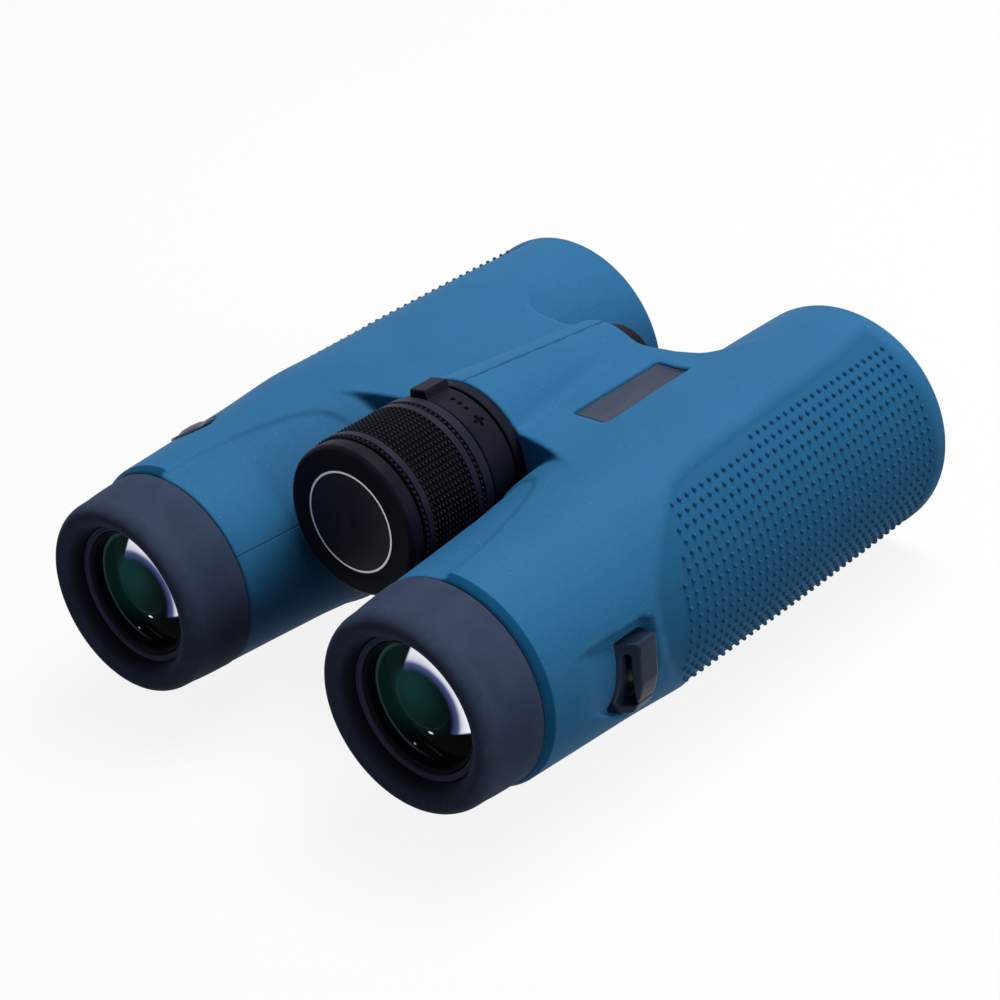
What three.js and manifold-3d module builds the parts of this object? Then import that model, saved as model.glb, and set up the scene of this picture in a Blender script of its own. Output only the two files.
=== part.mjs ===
// Roof-prism binoculars, 8x42 size, with a moulded rubber armour and a single long bridge.
//
// Millimetres. X points to the right barrel, Y from the eyecups to the objectives, Z up.
// While the pieces are made, y = 0 is the widest ring of the eyecup rims and z = 0 is the plane
// of the two barrel axes. The last lines move the whole assembly so that its origin is the
// centre of its underside. Pieces that are turned are revolved about Y, and profiles are
// written as [station along Y, radius] pairs.

import * as THREE from 'three';
import { mergeVertices } from 'three/addons/utils/BufferGeometryUtils.js';
import Module from 'manifold-3d';

const wasm = await Module();
wasm.setup();

// Driving dimensions

const CLEAR = 0.3;                 // gap between pieces that touch or seat on each other
const BARREL_OFFSET = 37;          // barrel axis from the middle plane, half the widest eye spacing
const HINGE_HEIGHT = 15.65;        // hinge axis above the barrel axes
const EYE_SPACING_CLOSED = 56;     // narrowest distance between the eyepieces
const FRONT_END = 138.8;           // front of the rubber rim round the objective
const REAR_END = 10.7;             // rear edge of the armour, behind the eyecup
const ARMOUR_WALL = 1.5;           // rubber thickness
const GRIP_DEPTH = 0.4;            // how far the grip panel lies below the top of the barrel
const BARREL_R = 25.9;             // widest radius of the armour
const RIM_ROUND = 1.0;             // rounding of the front rim
const BEVEL_LENGTH = 3.1;          // sloping rear end of the raised armour
const NECK_R = 21.1;               // armour radius at its rear edge

const BRIDGE_REAR = 59.4;          // rear edge of the bridge on the hinge line
const BRIDGE_FRONT = 104.8;        // front edge of the bridge on the hinge line
const HUMP_R_REAR = 15.85;         // radius of the hinge hump at the bridge's rear edge
const HUMP_R_FRONT = 11.35;        // and at its front edge
const DECK_DROP = 1.9;             // bridge top beside the hump, below the top of the barrels
const VEE_MARGIN = 2.2;            // spare angle under the bridge when the barrels are closed
const BRIDGE_FLOOR_R = 14;         // underside of the bridge, measured from the hinge axis

const WHEEL_R = 15.8;              // focus wheel body
const WHEEL_REAR = 25;             // end face of the focus wheel
const WHEEL_RIM = 3.6;             // length of the smooth rim on the end face
const WHEEL_FRONT = 48.2;          // front end of the focus wheel
const WHEEL_FINGER_GAP = 1.2;      // space round the focus wheel in the armour
const DIOPTER_R = 15.6;
const DIOPTER_REAR = 50.2;
const DIOPTER_LENGTH = 7.1;
const COLLAR_R = 15;
const COLLAR_REAR = 58.5;
const COLLAR_LENGTH = 2.5;

const SPINDLE_R = 2.9;             // focus screw
const BUSH_R = 5.5;                // rear hinge bush, hollow round the focus screw
const SHAFT_R = 4.5;               // front hinge shaft
const KNUCKLE_R_REAR = 9.5;
const KNUCKLE_R_FRONT = 8.4;
const CHAMBER_R = 8.3;             // chamber in which the focus carriage slides
const FOCUS_TRAVEL = 2;            // travel of the focusing lenses each way
const CAP_R = 8.2;                 // cap over the tripod socket
const CAP_FRONT = 111.3;

const SHELL_WALL = 1.3;            // hard shell round the objective
const GUIDE_WALL = 3;              // extra wall of the guide bore in which the focusing cell slides
const PRISM_WALL = 1.4;            // and again of the bore that holds the prism cage
const CELL_WALL = 0.75;            // objective cell round the lenses
const LENS_LIP = 0.45;             // edge of the objective that its ring covers
const NECK_WALL = 3.5;             // armour and shell round the eyecup's room
const EYEPIECE_STEP = 1.8;         // from the eyecup's room down to the eyepiece bore

const EYECUP_STEP = 0.7;           // the eyecup is this much slimmer than the neck
const EYECUP_ROUND = 4.55;         // rounding of the eyecup's rim
const SLEEVE_ROOM = 4.5;           // room round the eyepiece tube for the eyecup's sleeve
const EYEPIECE_WALL = 1.2;

const REACH = 2 * BARREL_R;        // cutting tools reach this far past the middle of a barrel
const BARREL_FACETS = 40;
const CORE_FACETS = 24;
const WHEEL_FACETS = 32;
const ROUND_FACETS = 24;
const SMALL_FACETS = 16;

// Angles and distances that follow from the driving dimensions

const AXIS_DISTANCE = Math.hypot(BARREL_OFFSET, HINGE_HEIGHT);
const DROOP = Math.atan2(HINGE_HEIGHT, BARREL_OFFSET);
const OPEN_HALF_ANGLE = Math.asin(BARREL_OFFSET / AXIS_DISTANCE);
const CLOSED_HALF_ANGLE = Math.asin(EYE_SPACING_CLOSED / 2 / AXIS_DISTANCE);
const SWING = 2 * (OPEN_HALF_ANGLE - CLOSED_HALF_ANGLE);
const VEE_HALF = SWING / 2 + THREE.MathUtils.degToRad(VEE_MARGIN / 2);
const HOUSING_INSET = ARMOUR_WALL + CLEAR;
const TROUGH_R = WHEEL_R + WHEEL_FINGER_GAP;
const DECK_HEIGHT = BARREL_R - DECK_DROP;
const OBJECTIVE_BORE_R = BARREL_R - HOUSING_INSET - SHELL_WALL;
const CELL_BORE_R = OBJECTIVE_BORE_R - GUIDE_WALL;
const PRISM_BORE_R = CELL_BORE_R - PRISM_WALL;
const OBJECTIVE_LENS_R = OBJECTIVE_BORE_R - CELL_WALL - 2 * CLEAR;
const OBJECTIVE_CLEAR_R = OBJECTIVE_LENS_R - LENS_LIP;
const NECK_BORE_R = NECK_R - NECK_WALL;
const EYEPIECE_BORE_R = NECK_BORE_R - EYEPIECE_STEP;
const EYECUP_R = NECK_R - EYECUP_STEP;
const EYEPIECE_R = NECK_BORE_R - SLEEVE_ROOM;
const EYE_LENS_R = EYEPIECE_R - EYEPIECE_WALL - CLEAR;
const COLLAR_FRONT = COLLAR_REAR + COLLAR_LENGTH;
const KNUCKLE_LENGTH = 4.2;        // the knuckle behind the focus chamber
const CHAMBER_REAR = COLLAR_FRONT + KNUCKLE_LENGTH + 5.3;
const CHAMBER_FRONT = BRIDGE_FRONT - 15.8;
const CHAMBER_LAP = 1;             // how far the chamber's wall runs on over the knuckle that closes it

// Materials, with the colours and finish that the object shows

function finish(colour, roughness, metalness = 0) {
  return new THREE.MeshStandardMaterial({ color: colour, roughness, metalness });
}

const ARMOUR_BLUE = finish(0x2d628c, 0.62);
const SOFT_RUBBER = finish(0x23262f, 0.8);
const BLACK_PLASTIC = finish(0x1b1c22, 0.45);
const KNURLED_BLACK = finish(0x202127, 0.6);
const GLOSS_BLACK = finish(0x121216, 0.2);
const CAST_BLACK = finish(0x1d1f24, 0.55, 0.4);
const ANODISED = finish(0x17181c, 0.35, 0.6);
const STEEL = finish(0xa8abb0, 0.3, 1);
const BRASS = finish(0xb8924a, 0.35, 1);
const LENS_GLASS = finish(0x2a4a44, 0.05);
const PRISM_GLASS = finish(0xc9d6d8, 0.05);
const PLATE_GREY = finish(0x45454f, 0.5, 0.3);
const BADGE_SILVER = finish(0x8d8f98, 0.3, 0.8);

// Geometry helpers

function signedVolume(geometry) {
  const position = geometry.attributes.position;
  const index = geometry.index.array;
  const corner = [new THREE.Vector3(), new THREE.Vector3(), new THREE.Vector3()];
  let sum = 0;
  for (let i = 0; i < index.length; i += 3) {
    corner.forEach((point, k) => point.fromBufferAttribute(position, index[i + k]));
    sum += corner[0].dot(corner[1].cross(corner[2]));
  }
  return sum / 6;
}

// Merges shared corners, drops empty triangles and turns the faces outwards.
function closed(geometry) {
  const bare = geometry.clone();
  bare.deleteAttribute('normal');
  bare.deleteAttribute('uv');
  const merged = mergeVertices(bare, 1e-4);
  const source = merged.index.array;
  const kept = [];
  for (let i = 0; i < source.length; i += 3) {
    const [a, b, c] = [source[i], source[i + 1], source[i + 2]];
    if (a !== b && b !== c && c !== a) kept.push(a, b, c);
  }
  merged.setIndex(kept);
  if (signedVolume(merged) < 0) {
    const turned = merged.index.array.slice();
    for (let i = 0; i < turned.length; i += 3) [turned[i], turned[i + 1]] = [turned[i + 1], turned[i]];
    merged.setIndex([...turned]);
  }
  return merged;
}

function toSolid(geometry) {
  const clean = closed(geometry);
  return new wasm.Manifold(new wasm.Mesh({
    numProp: 3,
    vertProperties: Float32Array.from(clean.attributes.position.array),
    triVerts: Uint32Array.from(clean.index.array),
  }));
}

function toGeometry(solid) {
  const mesh = solid.getMesh();
  const geometry = new THREE.BufferGeometry();
  geometry.setAttribute('position', new THREE.BufferAttribute(mesh.vertProperties, 3));
  geometry.setIndex(new THREE.BufferAttribute(mesh.triVerts, 1));
  return geometry;
}

function join(first, ...others) {
  return others.reduce((sum, other) => sum.add(other), first);
}

function cut(first, ...tools) {
  return tools.reduce((rest, tool) => rest.subtract(tool), first);
}

function mirrored(solid) {
  return toSolid(toGeometry(solid).scale(-1, 1, 1));
}

// A closed profile of [station, radius] pairs turned about the Y axis.
function turned(profile, facets = ROUND_FACETS) {
  const points = profile.map(([station, radius]) => new THREE.Vector2(radius, station));
  const onAxis = profile[0][1] === 0 && profile[profile.length - 1][1] === 0;
  if (!onAxis) points.push(points[0].clone());
  return new THREE.LatheGeometry(points, facets);
}

function tube(from, to, inner, outer, facets = ROUND_FACETS) {
  return turned([[from, inner], [to, inner], [to, outer], [from, outer]], facets);
}

function rod(from, to, radius, facets = ROUND_FACETS) {
  return turned([[from, 0], [from, radius], [to, radius], [to, 0]], facets);
}

// An outline of [x, z] pairs carried along Y.
function alongY(outline, from, to) {
  const shape = new THREE.Shape(outline.map(([x, z]) => new THREE.Vector2(x, z)));
  const geometry = new THREE.ExtrudeGeometry(shape, { depth: to - from, bevelEnabled: false });
  return geometry.rotateX(Math.PI / 2).translate(0, to, 0);
}

// An outline of [x, y] pairs carried upwards.
function upwards(outline, from, to) {
  const shape = new THREE.Shape(outline.map(([x, y]) => new THREE.Vector2(x, y)));
  const geometry = new THREE.ExtrudeGeometry(shape, { depth: to - from, bevelEnabled: false });
  return geometry.translate(0, 0, from);
}

// An outline of [y, z] pairs carried along X.
function alongX(outline, from, to) {
  const shape = new THREE.Shape(outline.map(([y, z]) => new THREE.Vector2(y, z)));
  const geometry = new THREE.ExtrudeGeometry(shape, { depth: to - from, bevelEnabled: false });
  return geometry.rotateX(Math.PI / 2).rotateZ(Math.PI / 2).translate(from, 0, 0);
}

function block(width, length, height, x, y, z) {
  return new THREE.BoxGeometry(width, length, height).translate(x, y, z);
}

// A skin through rings of equal count, closed by a cap at each end.
function loft(outlines) {
  const contour = (ring) => ring.map((point) => new THREE.Vector2(point.x, point.z));
  const clockwise = (ring) => THREE.ShapeUtils.isClockWise(contour(ring));
  const rings = outlines.map((ring) => (clockwise(ring) ? [...ring].reverse() : ring));
  const count = rings[0].length;
  const positions = rings.flat().flatMap((point) => [point.x, point.y, point.z]);
  const index = [];
  for (let j = 0; j + 1 < rings.length; j += 1) {
    for (let i = 0; i < count; i += 1) {
      const a = j * count + i;
      const b = j * count + ((i + 1) % count);
      index.push(a, b, b + count, a, b + count, a + count);
    }
  }
  const last = (rings.length - 1) * count;
  for (const [a, b, c] of THREE.ShapeUtils.triangulateShape(contour(rings[0]), [])) index.push(c, b, a);
  for (const [a, b, c] of THREE.ShapeUtils.triangulateShape(contour(rings.at(-1)), [])) {
    index.push(last + a, last + b, last + c);
  }
  const geometry = new THREE.BufferGeometry();
  geometry.setAttribute('position', new THREE.Float32BufferAttribute(positions, 3));
  geometry.setIndex(index);
  return geometry;
}

function smoothMax(a, b, width) {
  const blend = Math.max(width - Math.abs(a - b), 0) / width;
  return Math.max(a, b) + (blend * blend * width) / 4;
}

function between(value, low, high) {
  return THREE.MathUtils.clamp((value - low) / (high - low), 0, 1);
}

function placed(name, shape, material, parent) {
  const geometry = shape instanceof THREE.BufferGeometry ? closed(shape) : toGeometry(shape);
  const mesh = new THREE.Mesh(geometry, material);
  mesh.name = name;
  parent.add(mesh);
  return mesh;
}

// Groups: everything hangs on the assembly; a barrel's turned pieces share its axis,
// and the focus drive and the hinge pieces share the hinge axis.

const assembly = new THREE.Group();
const barrels = {};
for (const [side, sign] of [['left', -1], ['right', 1]]) {
  barrels[side] = new THREE.Group();
  barrels[side].position.x = sign * BARREL_OFFSET;
  assembly.add(barrels[side]);
}
const hinge = new THREE.Group();
hinge.position.z = HINGE_HEIGHT;
assembly.add(hinge);

// The outer form of one half
//
// The same form is used three times: as the armour's outside, as the hollow in the armour, and
// as the outside of the hard housing. The inset says how far each of them lies below the surface.
// The raised skin swells from the neck to the grip and covers all but the scooped inner side.

const RAISED_PROFILE = [
  [REAR_END, NECK_R], [REAR_END + BEVEL_LENGTH, NECK_R + 1.2], [42, BARREL_R - 1.9], [56, BARREL_R - 0.6],
  [90, BARREL_R - 0.1], [FRONT_END - 18, BARREL_R], [FRONT_END - 5, BARREL_R - 0.1],
  [FRONT_END - 2 * RIM_ROUND, BARREL_R - 0.4],
  [FRONT_END - 0.6 * RIM_ROUND, BARREL_R - 0.9], [FRONT_END, BARREL_R - 1.9],
];
const SCOOP_END = 50;
const SCOOP_PROFILE = [
  [REAR_END, NECK_R], [22, NECK_R + 0.7], [38, BARREL_R - 3], [SCOOP_END - 2, BARREL_R - 1.9],
];
const CORE_PROFILE = [
  ...SCOOP_PROFILE, [58, BARREL_R - 0.6], [90, BARREL_R - 0.2], [FRONT_END - 5, BARREL_R - 0.2],
];

// The scooped side ends at a crease that leaves the top of the barrel and turns in to the wheel.
const CREASE = [
  [36.4, 10], [36.3, 19.6], [35.1, 27], [33.3, 35], [30.7, 43], [27.8, 47.4],
  [24, SCOOP_END - 0.7], [8, SCOOP_END],
];
const BRIDGE_REAR_EDGE = [[0, 0], [11, -0.1], [17, -0.9], [22, -2.1], [26, -3.5], [30, -5.4], [36, -9]];
const BRIDGE_FRONT_EDGE = [
  [0, 0], [12, 0.2], [18, 1.2], [22.7, 3.1], [25.2, 4.8], [28.5, 8.2], [31, 12.2], [33, 17],
];

// A barrel profile lowered by the inset and closed on the axis. The hollow under the armour
// runs out at the rear, so that the hard neck can pass.
function barrel(profile, inset, to, facets = BARREL_FACETS) {
  const rear = inset > GRIP_DEPTH ? REAR_END - 1 : REAR_END;
  const kept = profile.filter(([station]) => station < to);
  const lowered = kept.map(([station, radius]) => [station, radius - inset]);
  lowered[0][0] = rear;
  const outline = [[rear, 0], ...lowered, [to, lowered.at(-1)[1]], [to, 0]];
  return turned(outline, facets).translate(BARREL_OFFSET, 0, 0);
}

function deckHeight(x, station, inset) {
  const along = between(station, BRIDGE_REAR, BRIDGE_FRONT);
  const radius = THREE.MathUtils.lerp(HUMP_R_REAR, HUMP_R_FRONT, along) - inset;
  const hump = HINGE_HEIGHT + Math.sqrt(Math.max(radius * radius - x * x, 0));
  return smoothMax(hump, DECK_HEIGHT - inset, 2.2);
}

function bridgeForm(inset) {
  const columns = [-2, 0, 2, 4, 6, 8, 10, 12, 14, 18, 24, 29];
  const third = (BRIDGE_FRONT - BRIDGE_REAR) / 3;
  const inside = [BRIDGE_REAR + third, BRIDGE_REAR + 2 * third];
  const behind = [BRIDGE_REAR - 15, BRIDGE_REAR - 5, BRIDGE_REAR];
  const stations = [...behind, ...inside, BRIDGE_FRONT, BRIDGE_FRONT + 19];
  const floorRadius = BRIDGE_FLOOR_R - inset;
  const barrelSide = BARREL_OFFSET - BARREL_R + 1.2;
  const floor = [
    [BARREL_OFFSET, 0],
    [barrelSide + inset, inset - 8],
    [floorRadius * Math.sin(VEE_HALF), HINGE_HEIGHT - floorRadius * Math.cos(VEE_HALF)],
    [-2, HINGE_HEIGHT - floorRadius],
  ];
  const rings = stations.map((station) => {
    const top = columns.map((x) => new THREE.Vector3(x, station, deckHeight(x, station, inset)));
    return [...top, ...floor.map(([x, z]) => new THREE.Vector3(x, station, z))];
  });
  const rear = BRIDGE_REAR_EDGE.map(([x, step]) => [x, BRIDGE_REAR + step + inset]);
  const front = BRIDGE_FRONT_EDGE.map(([x, step]) => [x, BRIDGE_FRONT + step - inset]).reverse();
  const plan = [[-2, BRIDGE_REAR + inset], ...rear, ...front, [-2, BRIDGE_FRONT - inset]];
  return toSolid(loft(rings)).intersect(toSolid(upwards(plan, -REACH, REACH)));
}

function wheelTrough(inset) {
  const wheel = rod(0, COLLAR_REAR + inset, TROUGH_R + inset, WHEEL_FACETS);
  const collar = rod(0, COLLAR_FRONT + CLEAR + inset, COLLAR_R + CLEAR + inset, WHEEL_FACETS);
  return [wheel, collar].map((geometry) => toSolid(geometry.translate(0, 0, HINGE_HEIGHT)));
}

// The leaf-shaped hollow in which the strap lug stands: a ramp towards the eyecup, a flat
// floor and a steep front wall, inside a pointed outline.
const LUG_REAR = 36.8;
const LUG_FRONT = 42.3;
const LUG_ANGLE = THREE.MathUtils.degToRad(99);
const LUG_FLOOR_R = BARREL_R - 5.1;
const LUG_HEIGHT = (BARREL_R - 2) * Math.cos(LUG_ANGLE);
const LUG_SKIN = 0.8;
const HOLLOW = { rear: LUG_REAR - 13.8, floorRear: LUG_REAR - 3.3, front: LUG_FRONT + 2.5, halfWidth: 11.4 };

function lugHollow(skin) {
  const surface = BARREL_R - 1.5;
  const floor = LUG_FLOOR_R - skin;
  const ramp = turned([
    [HOLLOW.rear - 3 - skin, surface + 4], [HOLLOW.rear - skin, surface], [HOLLOW.floorRear, floor],
    [HOLLOW.front - 1.3 + skin, floor], [HOLLOW.front + skin, surface],
    [HOLLOW.front + 0.2 + skin, surface + 4],
  ], BARREL_FACETS).translate(BARREL_OFFSET, 0, 0);
  const half = HOLLOW.halfWidth + skin;
  const leaf = [];
  for (let part = -1; part <= 1; part += 0.25) {
    leaf.push([HOLLOW.front + 0.1 - 2.5 * part * part + skin, LUG_HEIGHT + half * part]);
  }
  for (const [station, part] of [[HOLLOW.floorRear - 3.5, 0.84], [HOLLOW.rear - 0.5, 0.44]]) {
    leaf.push([station - skin, LUG_HEIGHT + half * part]);
  }
  for (const [station, part] of [[HOLLOW.rear - 0.5, -0.44], [HOLLOW.floorRear - 3.5, -0.84]]) {
    leaf.push([station - skin, LUG_HEIGHT + half * part]);
  }
  return toSolid(ramp).intersect(toSolid(alongX(leaf, BARREL_OFFSET, BARREL_OFFSET + 2 * BARREL_R)));
}

// The outer side carries a grip panel that lies a little below the top of the barrel.
const GRIP_TOP = BARREL_R - 3.1;
const GRIP_FRONT = FRONT_END - 5.3;
const GRIP_OUTLINE = [
  [GRIP_FRONT, GRIP_TOP], [61, GRIP_TOP], [56.5, GRIP_TOP - 1.2], [51.5, 18.6], [48, 14.6],
  [45.6, 8.8], [45, 2], [45.4, -6], [47, -13], [50.5, -18.6],
  [56.5, 0.6 - GRIP_TOP], [61, -GRIP_TOP], [GRIP_FRONT, -GRIP_TOP],
];

function gripPanel() {
  const outline = toSolid(alongX(GRIP_OUTLINE, BARREL_OFFSET + 4, BARREL_OFFSET + 2 * BARREL_R));
  return outline.subtract(toSolid(barrel(RAISED_PROFILE, GRIP_DEPTH, FRONT_END)));
}

// What the hard parts fill under a skin of the given thickness.
function coreForm(inset) {
  const core = toSolid(barrel(CORE_PROFILE, inset, FRONT_END - inset, CORE_FACETS));
  return cut(join(core, bridgeForm(inset)), ...wheelTrough(inset));
}

// The outside of the armour: the raised skin, the scooped side within its crease, the bridge,
// the grip panel and the hollows.
function outerForm() {
  const raised = toSolid(barrel(RAISED_PROFILE, 0, FRONT_END));
  const scooped = toSolid(barrel(SCOOP_PROFILE, 0, SCOOP_END + 4));
  const crease = [...CREASE].reverse();
  const wide = 3 * BARREL_R;
  const plan = [[wide, -20], [wide, FRONT_END + 20], [-10, FRONT_END + 20], [-10, SCOOP_END]];
  plan.push(...crease, [CREASE[0][0], -20]);
  const raisedPart = raised.intersect(toSolid(upwards(plan, -REACH, REACH)));
  return cut(join(raisedPart, scooped, bridgeForm(0)), ...wheelTrough(0), gripPanel(), lugHollow(0));
}

// What belongs to the other half: beyond the middle plane above the hinge axis, and beyond the
// vee that opens under the hinge so that the barrels can swing together.
function otherHalf() {
  const far = 120;
  const halfGap = CLEAR / 2;
  return toSolid(alongY([
    [halfGap, far], [halfGap, HINGE_HEIGHT],
    [halfGap + far * Math.sin(VEE_HALF), HINGE_HEIGHT - far * Math.cos(VEE_HALF)],
    [-far, -far], [-far, far],
  ], REAR_END - 30, FRONT_END + 20));
}

function onHinge(geometry) {
  return toSolid(geometry.translate(0, 0, HINGE_HEIGHT));
}

// Armour: a rubber skin, moulded in one piece over a barrel and its half of the bridge

const PLATE = { x: 21.7, station: 85.8, width: 8, length: 27, thickness: 0.5, below: 0.5 };
const BADGE_ANGLE = THREE.MathUtils.degToRad(26);
const BADGE = { station: 31, radius: 6.3, surface: BARREL_R - 2.9, proud: 0.9, depth: 0.7 };

function rubberSkin() {
  const inside = cut(coreForm(ARMOUR_WALL), lugHollow(LUG_SKIN));
  const bore = turned([[0, 0], [0, NECK_BORE_R + 1], [REAR_END + 2, NECK_BORE_R + 1], [REAR_END + 2, 0]]);
  const window = rod(FRONT_END - 5, FRONT_END + 5, OBJECTIVE_BORE_R + 0.1, BARREL_FACETS);
  const openings = [bore, window].map((geometry) => toSolid(geometry.translate(BARREL_OFFSET, 0, 0)));
  const hingeHole = onHinge(rod(COLLAR_REAR, CAP_FRONT, KNUCKLE_R_REAR + CLEAR));
  return cut(outerForm(), inside, ...openings, hingeHole, otherHalf());
}

function plateTool(margin, deep) {
  const top = DECK_HEIGHT + 4;
  const bottom = DECK_HEIGHT - PLATE.below - deep;
  const width = PLATE.width + 2 * margin;
  return block(width, PLATE.length + 2 * margin, top - bottom, PLATE.x, PLATE.station, (top + bottom) / 2);
}

function badgeTilt(geometry) {
  return geometry.rotateX(Math.PI / 2).rotateY(-BADGE_ANGLE).translate(0, BADGE.station, 0);
}

const rightSkin = rubberSkin();
const leftSkin = mirrored(rightSkin);
const badgeFoot = BADGE.surface - BADGE.depth;
const badgeRoom = badgeTilt(rod(badgeFoot, badgeFoot + 6, BADGE.radius + CLEAR));
const badgeSeat = badgeRoom.translate(-BARREL_OFFSET, 0, 0);
const plateSeat = plateTool(CLEAR, PLATE.thickness + CLEAR);
placed('armour_left', cut(leftSkin, toSolid(badgeSeat)), ARMOUR_BLUE, assembly);
placed('armour_right', cut(rightSkin, toSolid(plateSeat)), ARMOUR_BLUE, assembly);

const plate = block(PLATE.width, PLATE.length, PLATE.thickness,
  PLATE.x, PLATE.station, DECK_HEIGHT - PLATE.below - PLATE.thickness / 2);
placed('name_plate', plate, PLATE_GREY, assembly);

const badgeProfile = [
  [badgeFoot + CLEAR, 0], [badgeFoot + CLEAR, BADGE.radius], [BADGE.surface, BADGE.radius],
  [BADGE.surface + 0.6 * BADGE.proud, 0.72 * BADGE.radius], [BADGE.surface + BADGE.proud, 0],
];
placed('side_badge', badgeTilt(turned(badgeProfile)), BADGE_SILVER, barrels.left);

// Housing: the hard shell inside the rubber, with its bore, its hinge knuckles and the window
// through which the focus arm reaches the lens cell

const NECK_SHOULDER = REAR_END + 7.1;
const PRISM_SEAT = NECK_SHOULDER + 6.5;
const CELL_ZONE = [CHAMBER_REAR - 4.5, CHAMBER_FRONT + 5.5];
const BORE_PROFILE = [
  [0, 0], [0, NECK_BORE_R], [NECK_SHOULDER, NECK_BORE_R], [NECK_SHOULDER, EYEPIECE_BORE_R],
  [PRISM_SEAT, EYEPIECE_BORE_R], [PRISM_SEAT, PRISM_BORE_R], [CELL_ZONE[0], PRISM_BORE_R],
  [CELL_ZONE[0], CELL_BORE_R], [CELL_ZONE[1], CELL_BORE_R], [CELL_ZONE[1] + 3, OBJECTIVE_BORE_R],
  [FRONT_END + 5, OBJECTIVE_BORE_R], [FRONT_END + 5, 0],
];

// Knuckles along the hinge, rear to front: [owner, from, to, outer radius, bore].
const KNUCKLES = [
  ['left', COLLAR_FRONT + CLEAR, COLLAR_FRONT + KNUCKLE_LENGTH, KNUCKLE_R_REAR, BUSH_R + CLEAR],
  ['right', COLLAR_FRONT + KNUCKLE_LENGTH + CLEAR, CHAMBER_REAR - CLEAR, KNUCKLE_R_REAR, BUSH_R + CLEAR],
  ['left', CHAMBER_FRONT, CHAMBER_FRONT + 6.8, KNUCKLE_R_FRONT, SHAFT_R + CLEAR],
  ['right', CHAMBER_FRONT + 6.8 + CLEAR, BRIDGE_FRONT - 2.2, KNUCKLE_R_FRONT, SHAFT_R + CLEAR],
];
const CARRIAGE = {
  rear: CHAMBER_REAR + FOCUS_TRAVEL + CLEAR, front: CHAMBER_FRONT - FOCUS_TRAVEL - CLEAR,
  flange: 1, bore: SPINDLE_R + CLEAR, sleeve: 5.4,
};
const ARM = { rear: CARRIAGE.rear + CARRIAGE.flange + CLEAR, thickness: 4, width: 6 };

function armWindow(turn, width) {
  const reach = AXIS_DISTANCE - CELL_BORE_R + 2;
  const length = 2 * ARM.thickness + CLEAR + 2 * (FOCUS_TRAVEL + 0.5);
  const middle = ARM.rear + ARM.thickness + CLEAR / 2;
  return block(reach, length, width, reach / 2, middle, 0).rotateY(DROOP + turn);
}

function housing(side) {
  const sign = side === 'right' ? 1 : -1;
  const shape = cut(coreForm(HOUSING_INSET), lugHollow(LUG_SKIN + CLEAR), otherHalf());
  const trim = toSolid(rod(0, REAR_END + CLEAR + 2, BARREL_R + 4).translate(BARREL_OFFSET, 0, 0));
  const bored = cut(shape, trim, toSolid(turned(BORE_PROFILE, ROUND_FACETS).translate(BARREL_OFFSET, 0, 0)));
  let result = side === 'right' ? bored : mirrored(bored);
  const step = CHAMBER_FRONT + CHAMBER_LAP + CLEAR;
  const room = onHinge(turned([
    [COLLAR_REAR, 0], [COLLAR_REAR, KNUCKLE_R_REAR + CLEAR], [step, KNUCKLE_R_REAR + CLEAR],
    [step, KNUCKLE_R_FRONT + CLEAR], [CAP_FRONT, KNUCKLE_R_FRONT + CLEAR], [CAP_FRONT, 0],
  ]));
  result = result.subtract(room);
  for (const [owner, from, to, outer, bore] of KNUCKLES) {
    if (owner !== side) continue;
    const ring = onHinge(tube(from, to, bore, outer));
    const rear = Math.max(from, COLLAR_FRONT + CLEAR + HOUSING_INSET);
    const width = outer + 4;
    const web = block(width, to - rear, outer, (sign * width) / 2, (rear + to) / 2, HINGE_HEIGHT);
    result = result.add(ring).add(cut(toSolid(web), onHinge(rod(from - 1, to + 1, bore))));
  }
  if (side === 'left') {
    const chamber = onHinge(tube(CHAMBER_REAR, CHAMBER_FRONT + CHAMBER_LAP, CHAMBER_R, KNUCKLE_R_REAR));
    const length = CHAMBER_FRONT - CHAMBER_REAR;
    const web = block(14, length, 8, -CHAMBER_R - 4.7, CHAMBER_REAR + length / 2, HINGE_HEIGHT);
    result = result.add(chamber).add(cut(toSolid(web), onHinge(rod(COLLAR_FRONT, CHAMBER_FRONT, CHAMBER_R))));
    const slotTurns = [0, 0.25, 0.5, 0.75, 1].map((part) => part * SWING);
    for (const turn of slotTurns) result = result.subtract(onHinge(armWindow(turn, ARM.width + 3)));
  }
  const ownWindow = armWindow(0, ARM.width + 1.2);
  if (side === 'left') ownWindow.scale(-1, 1, 1);
  return result.subtract(onHinge(ownWindow));
}

placed('housing_left', housing('left'), CAST_BLACK, assembly);
placed('housing_right', housing('right'), CAST_BLACK, assembly);

// Optics and mechanics that both barrels hold

function lens(from, to, radius, rearBulge, frontBulge) {
  const steps = 2;
  const arc = (station, bulge) => Array.from({ length: steps + 1 }, (_, i) => {
    const part = i / steps;
    return [station + bulge * (1 - part * part), radius * part];
  });
  return turned([...arc(from, rearBulge), ...arc(to, frontBulge).reverse()], SMALL_FACETS);
}

const CELL_REAR = CHAMBER_REAR + 2;
const FOCUS_LENS_R = CELL_BORE_R - 2.8;
const CELL_FRONT = CHAMBER_FRONT - 2.5;
const OBJECTIVE_SEAT = FRONT_END - 26.8;
const OBJECTIVE_LIP = 2;
const OBJECTIVE_RIM = FRONT_END - 2;
const EYEPIECE_END = 0.75;
const RING_SEAT_R = EYE_LENS_R + 0.7;
const PRISM_HOLE_R = 9;

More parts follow.
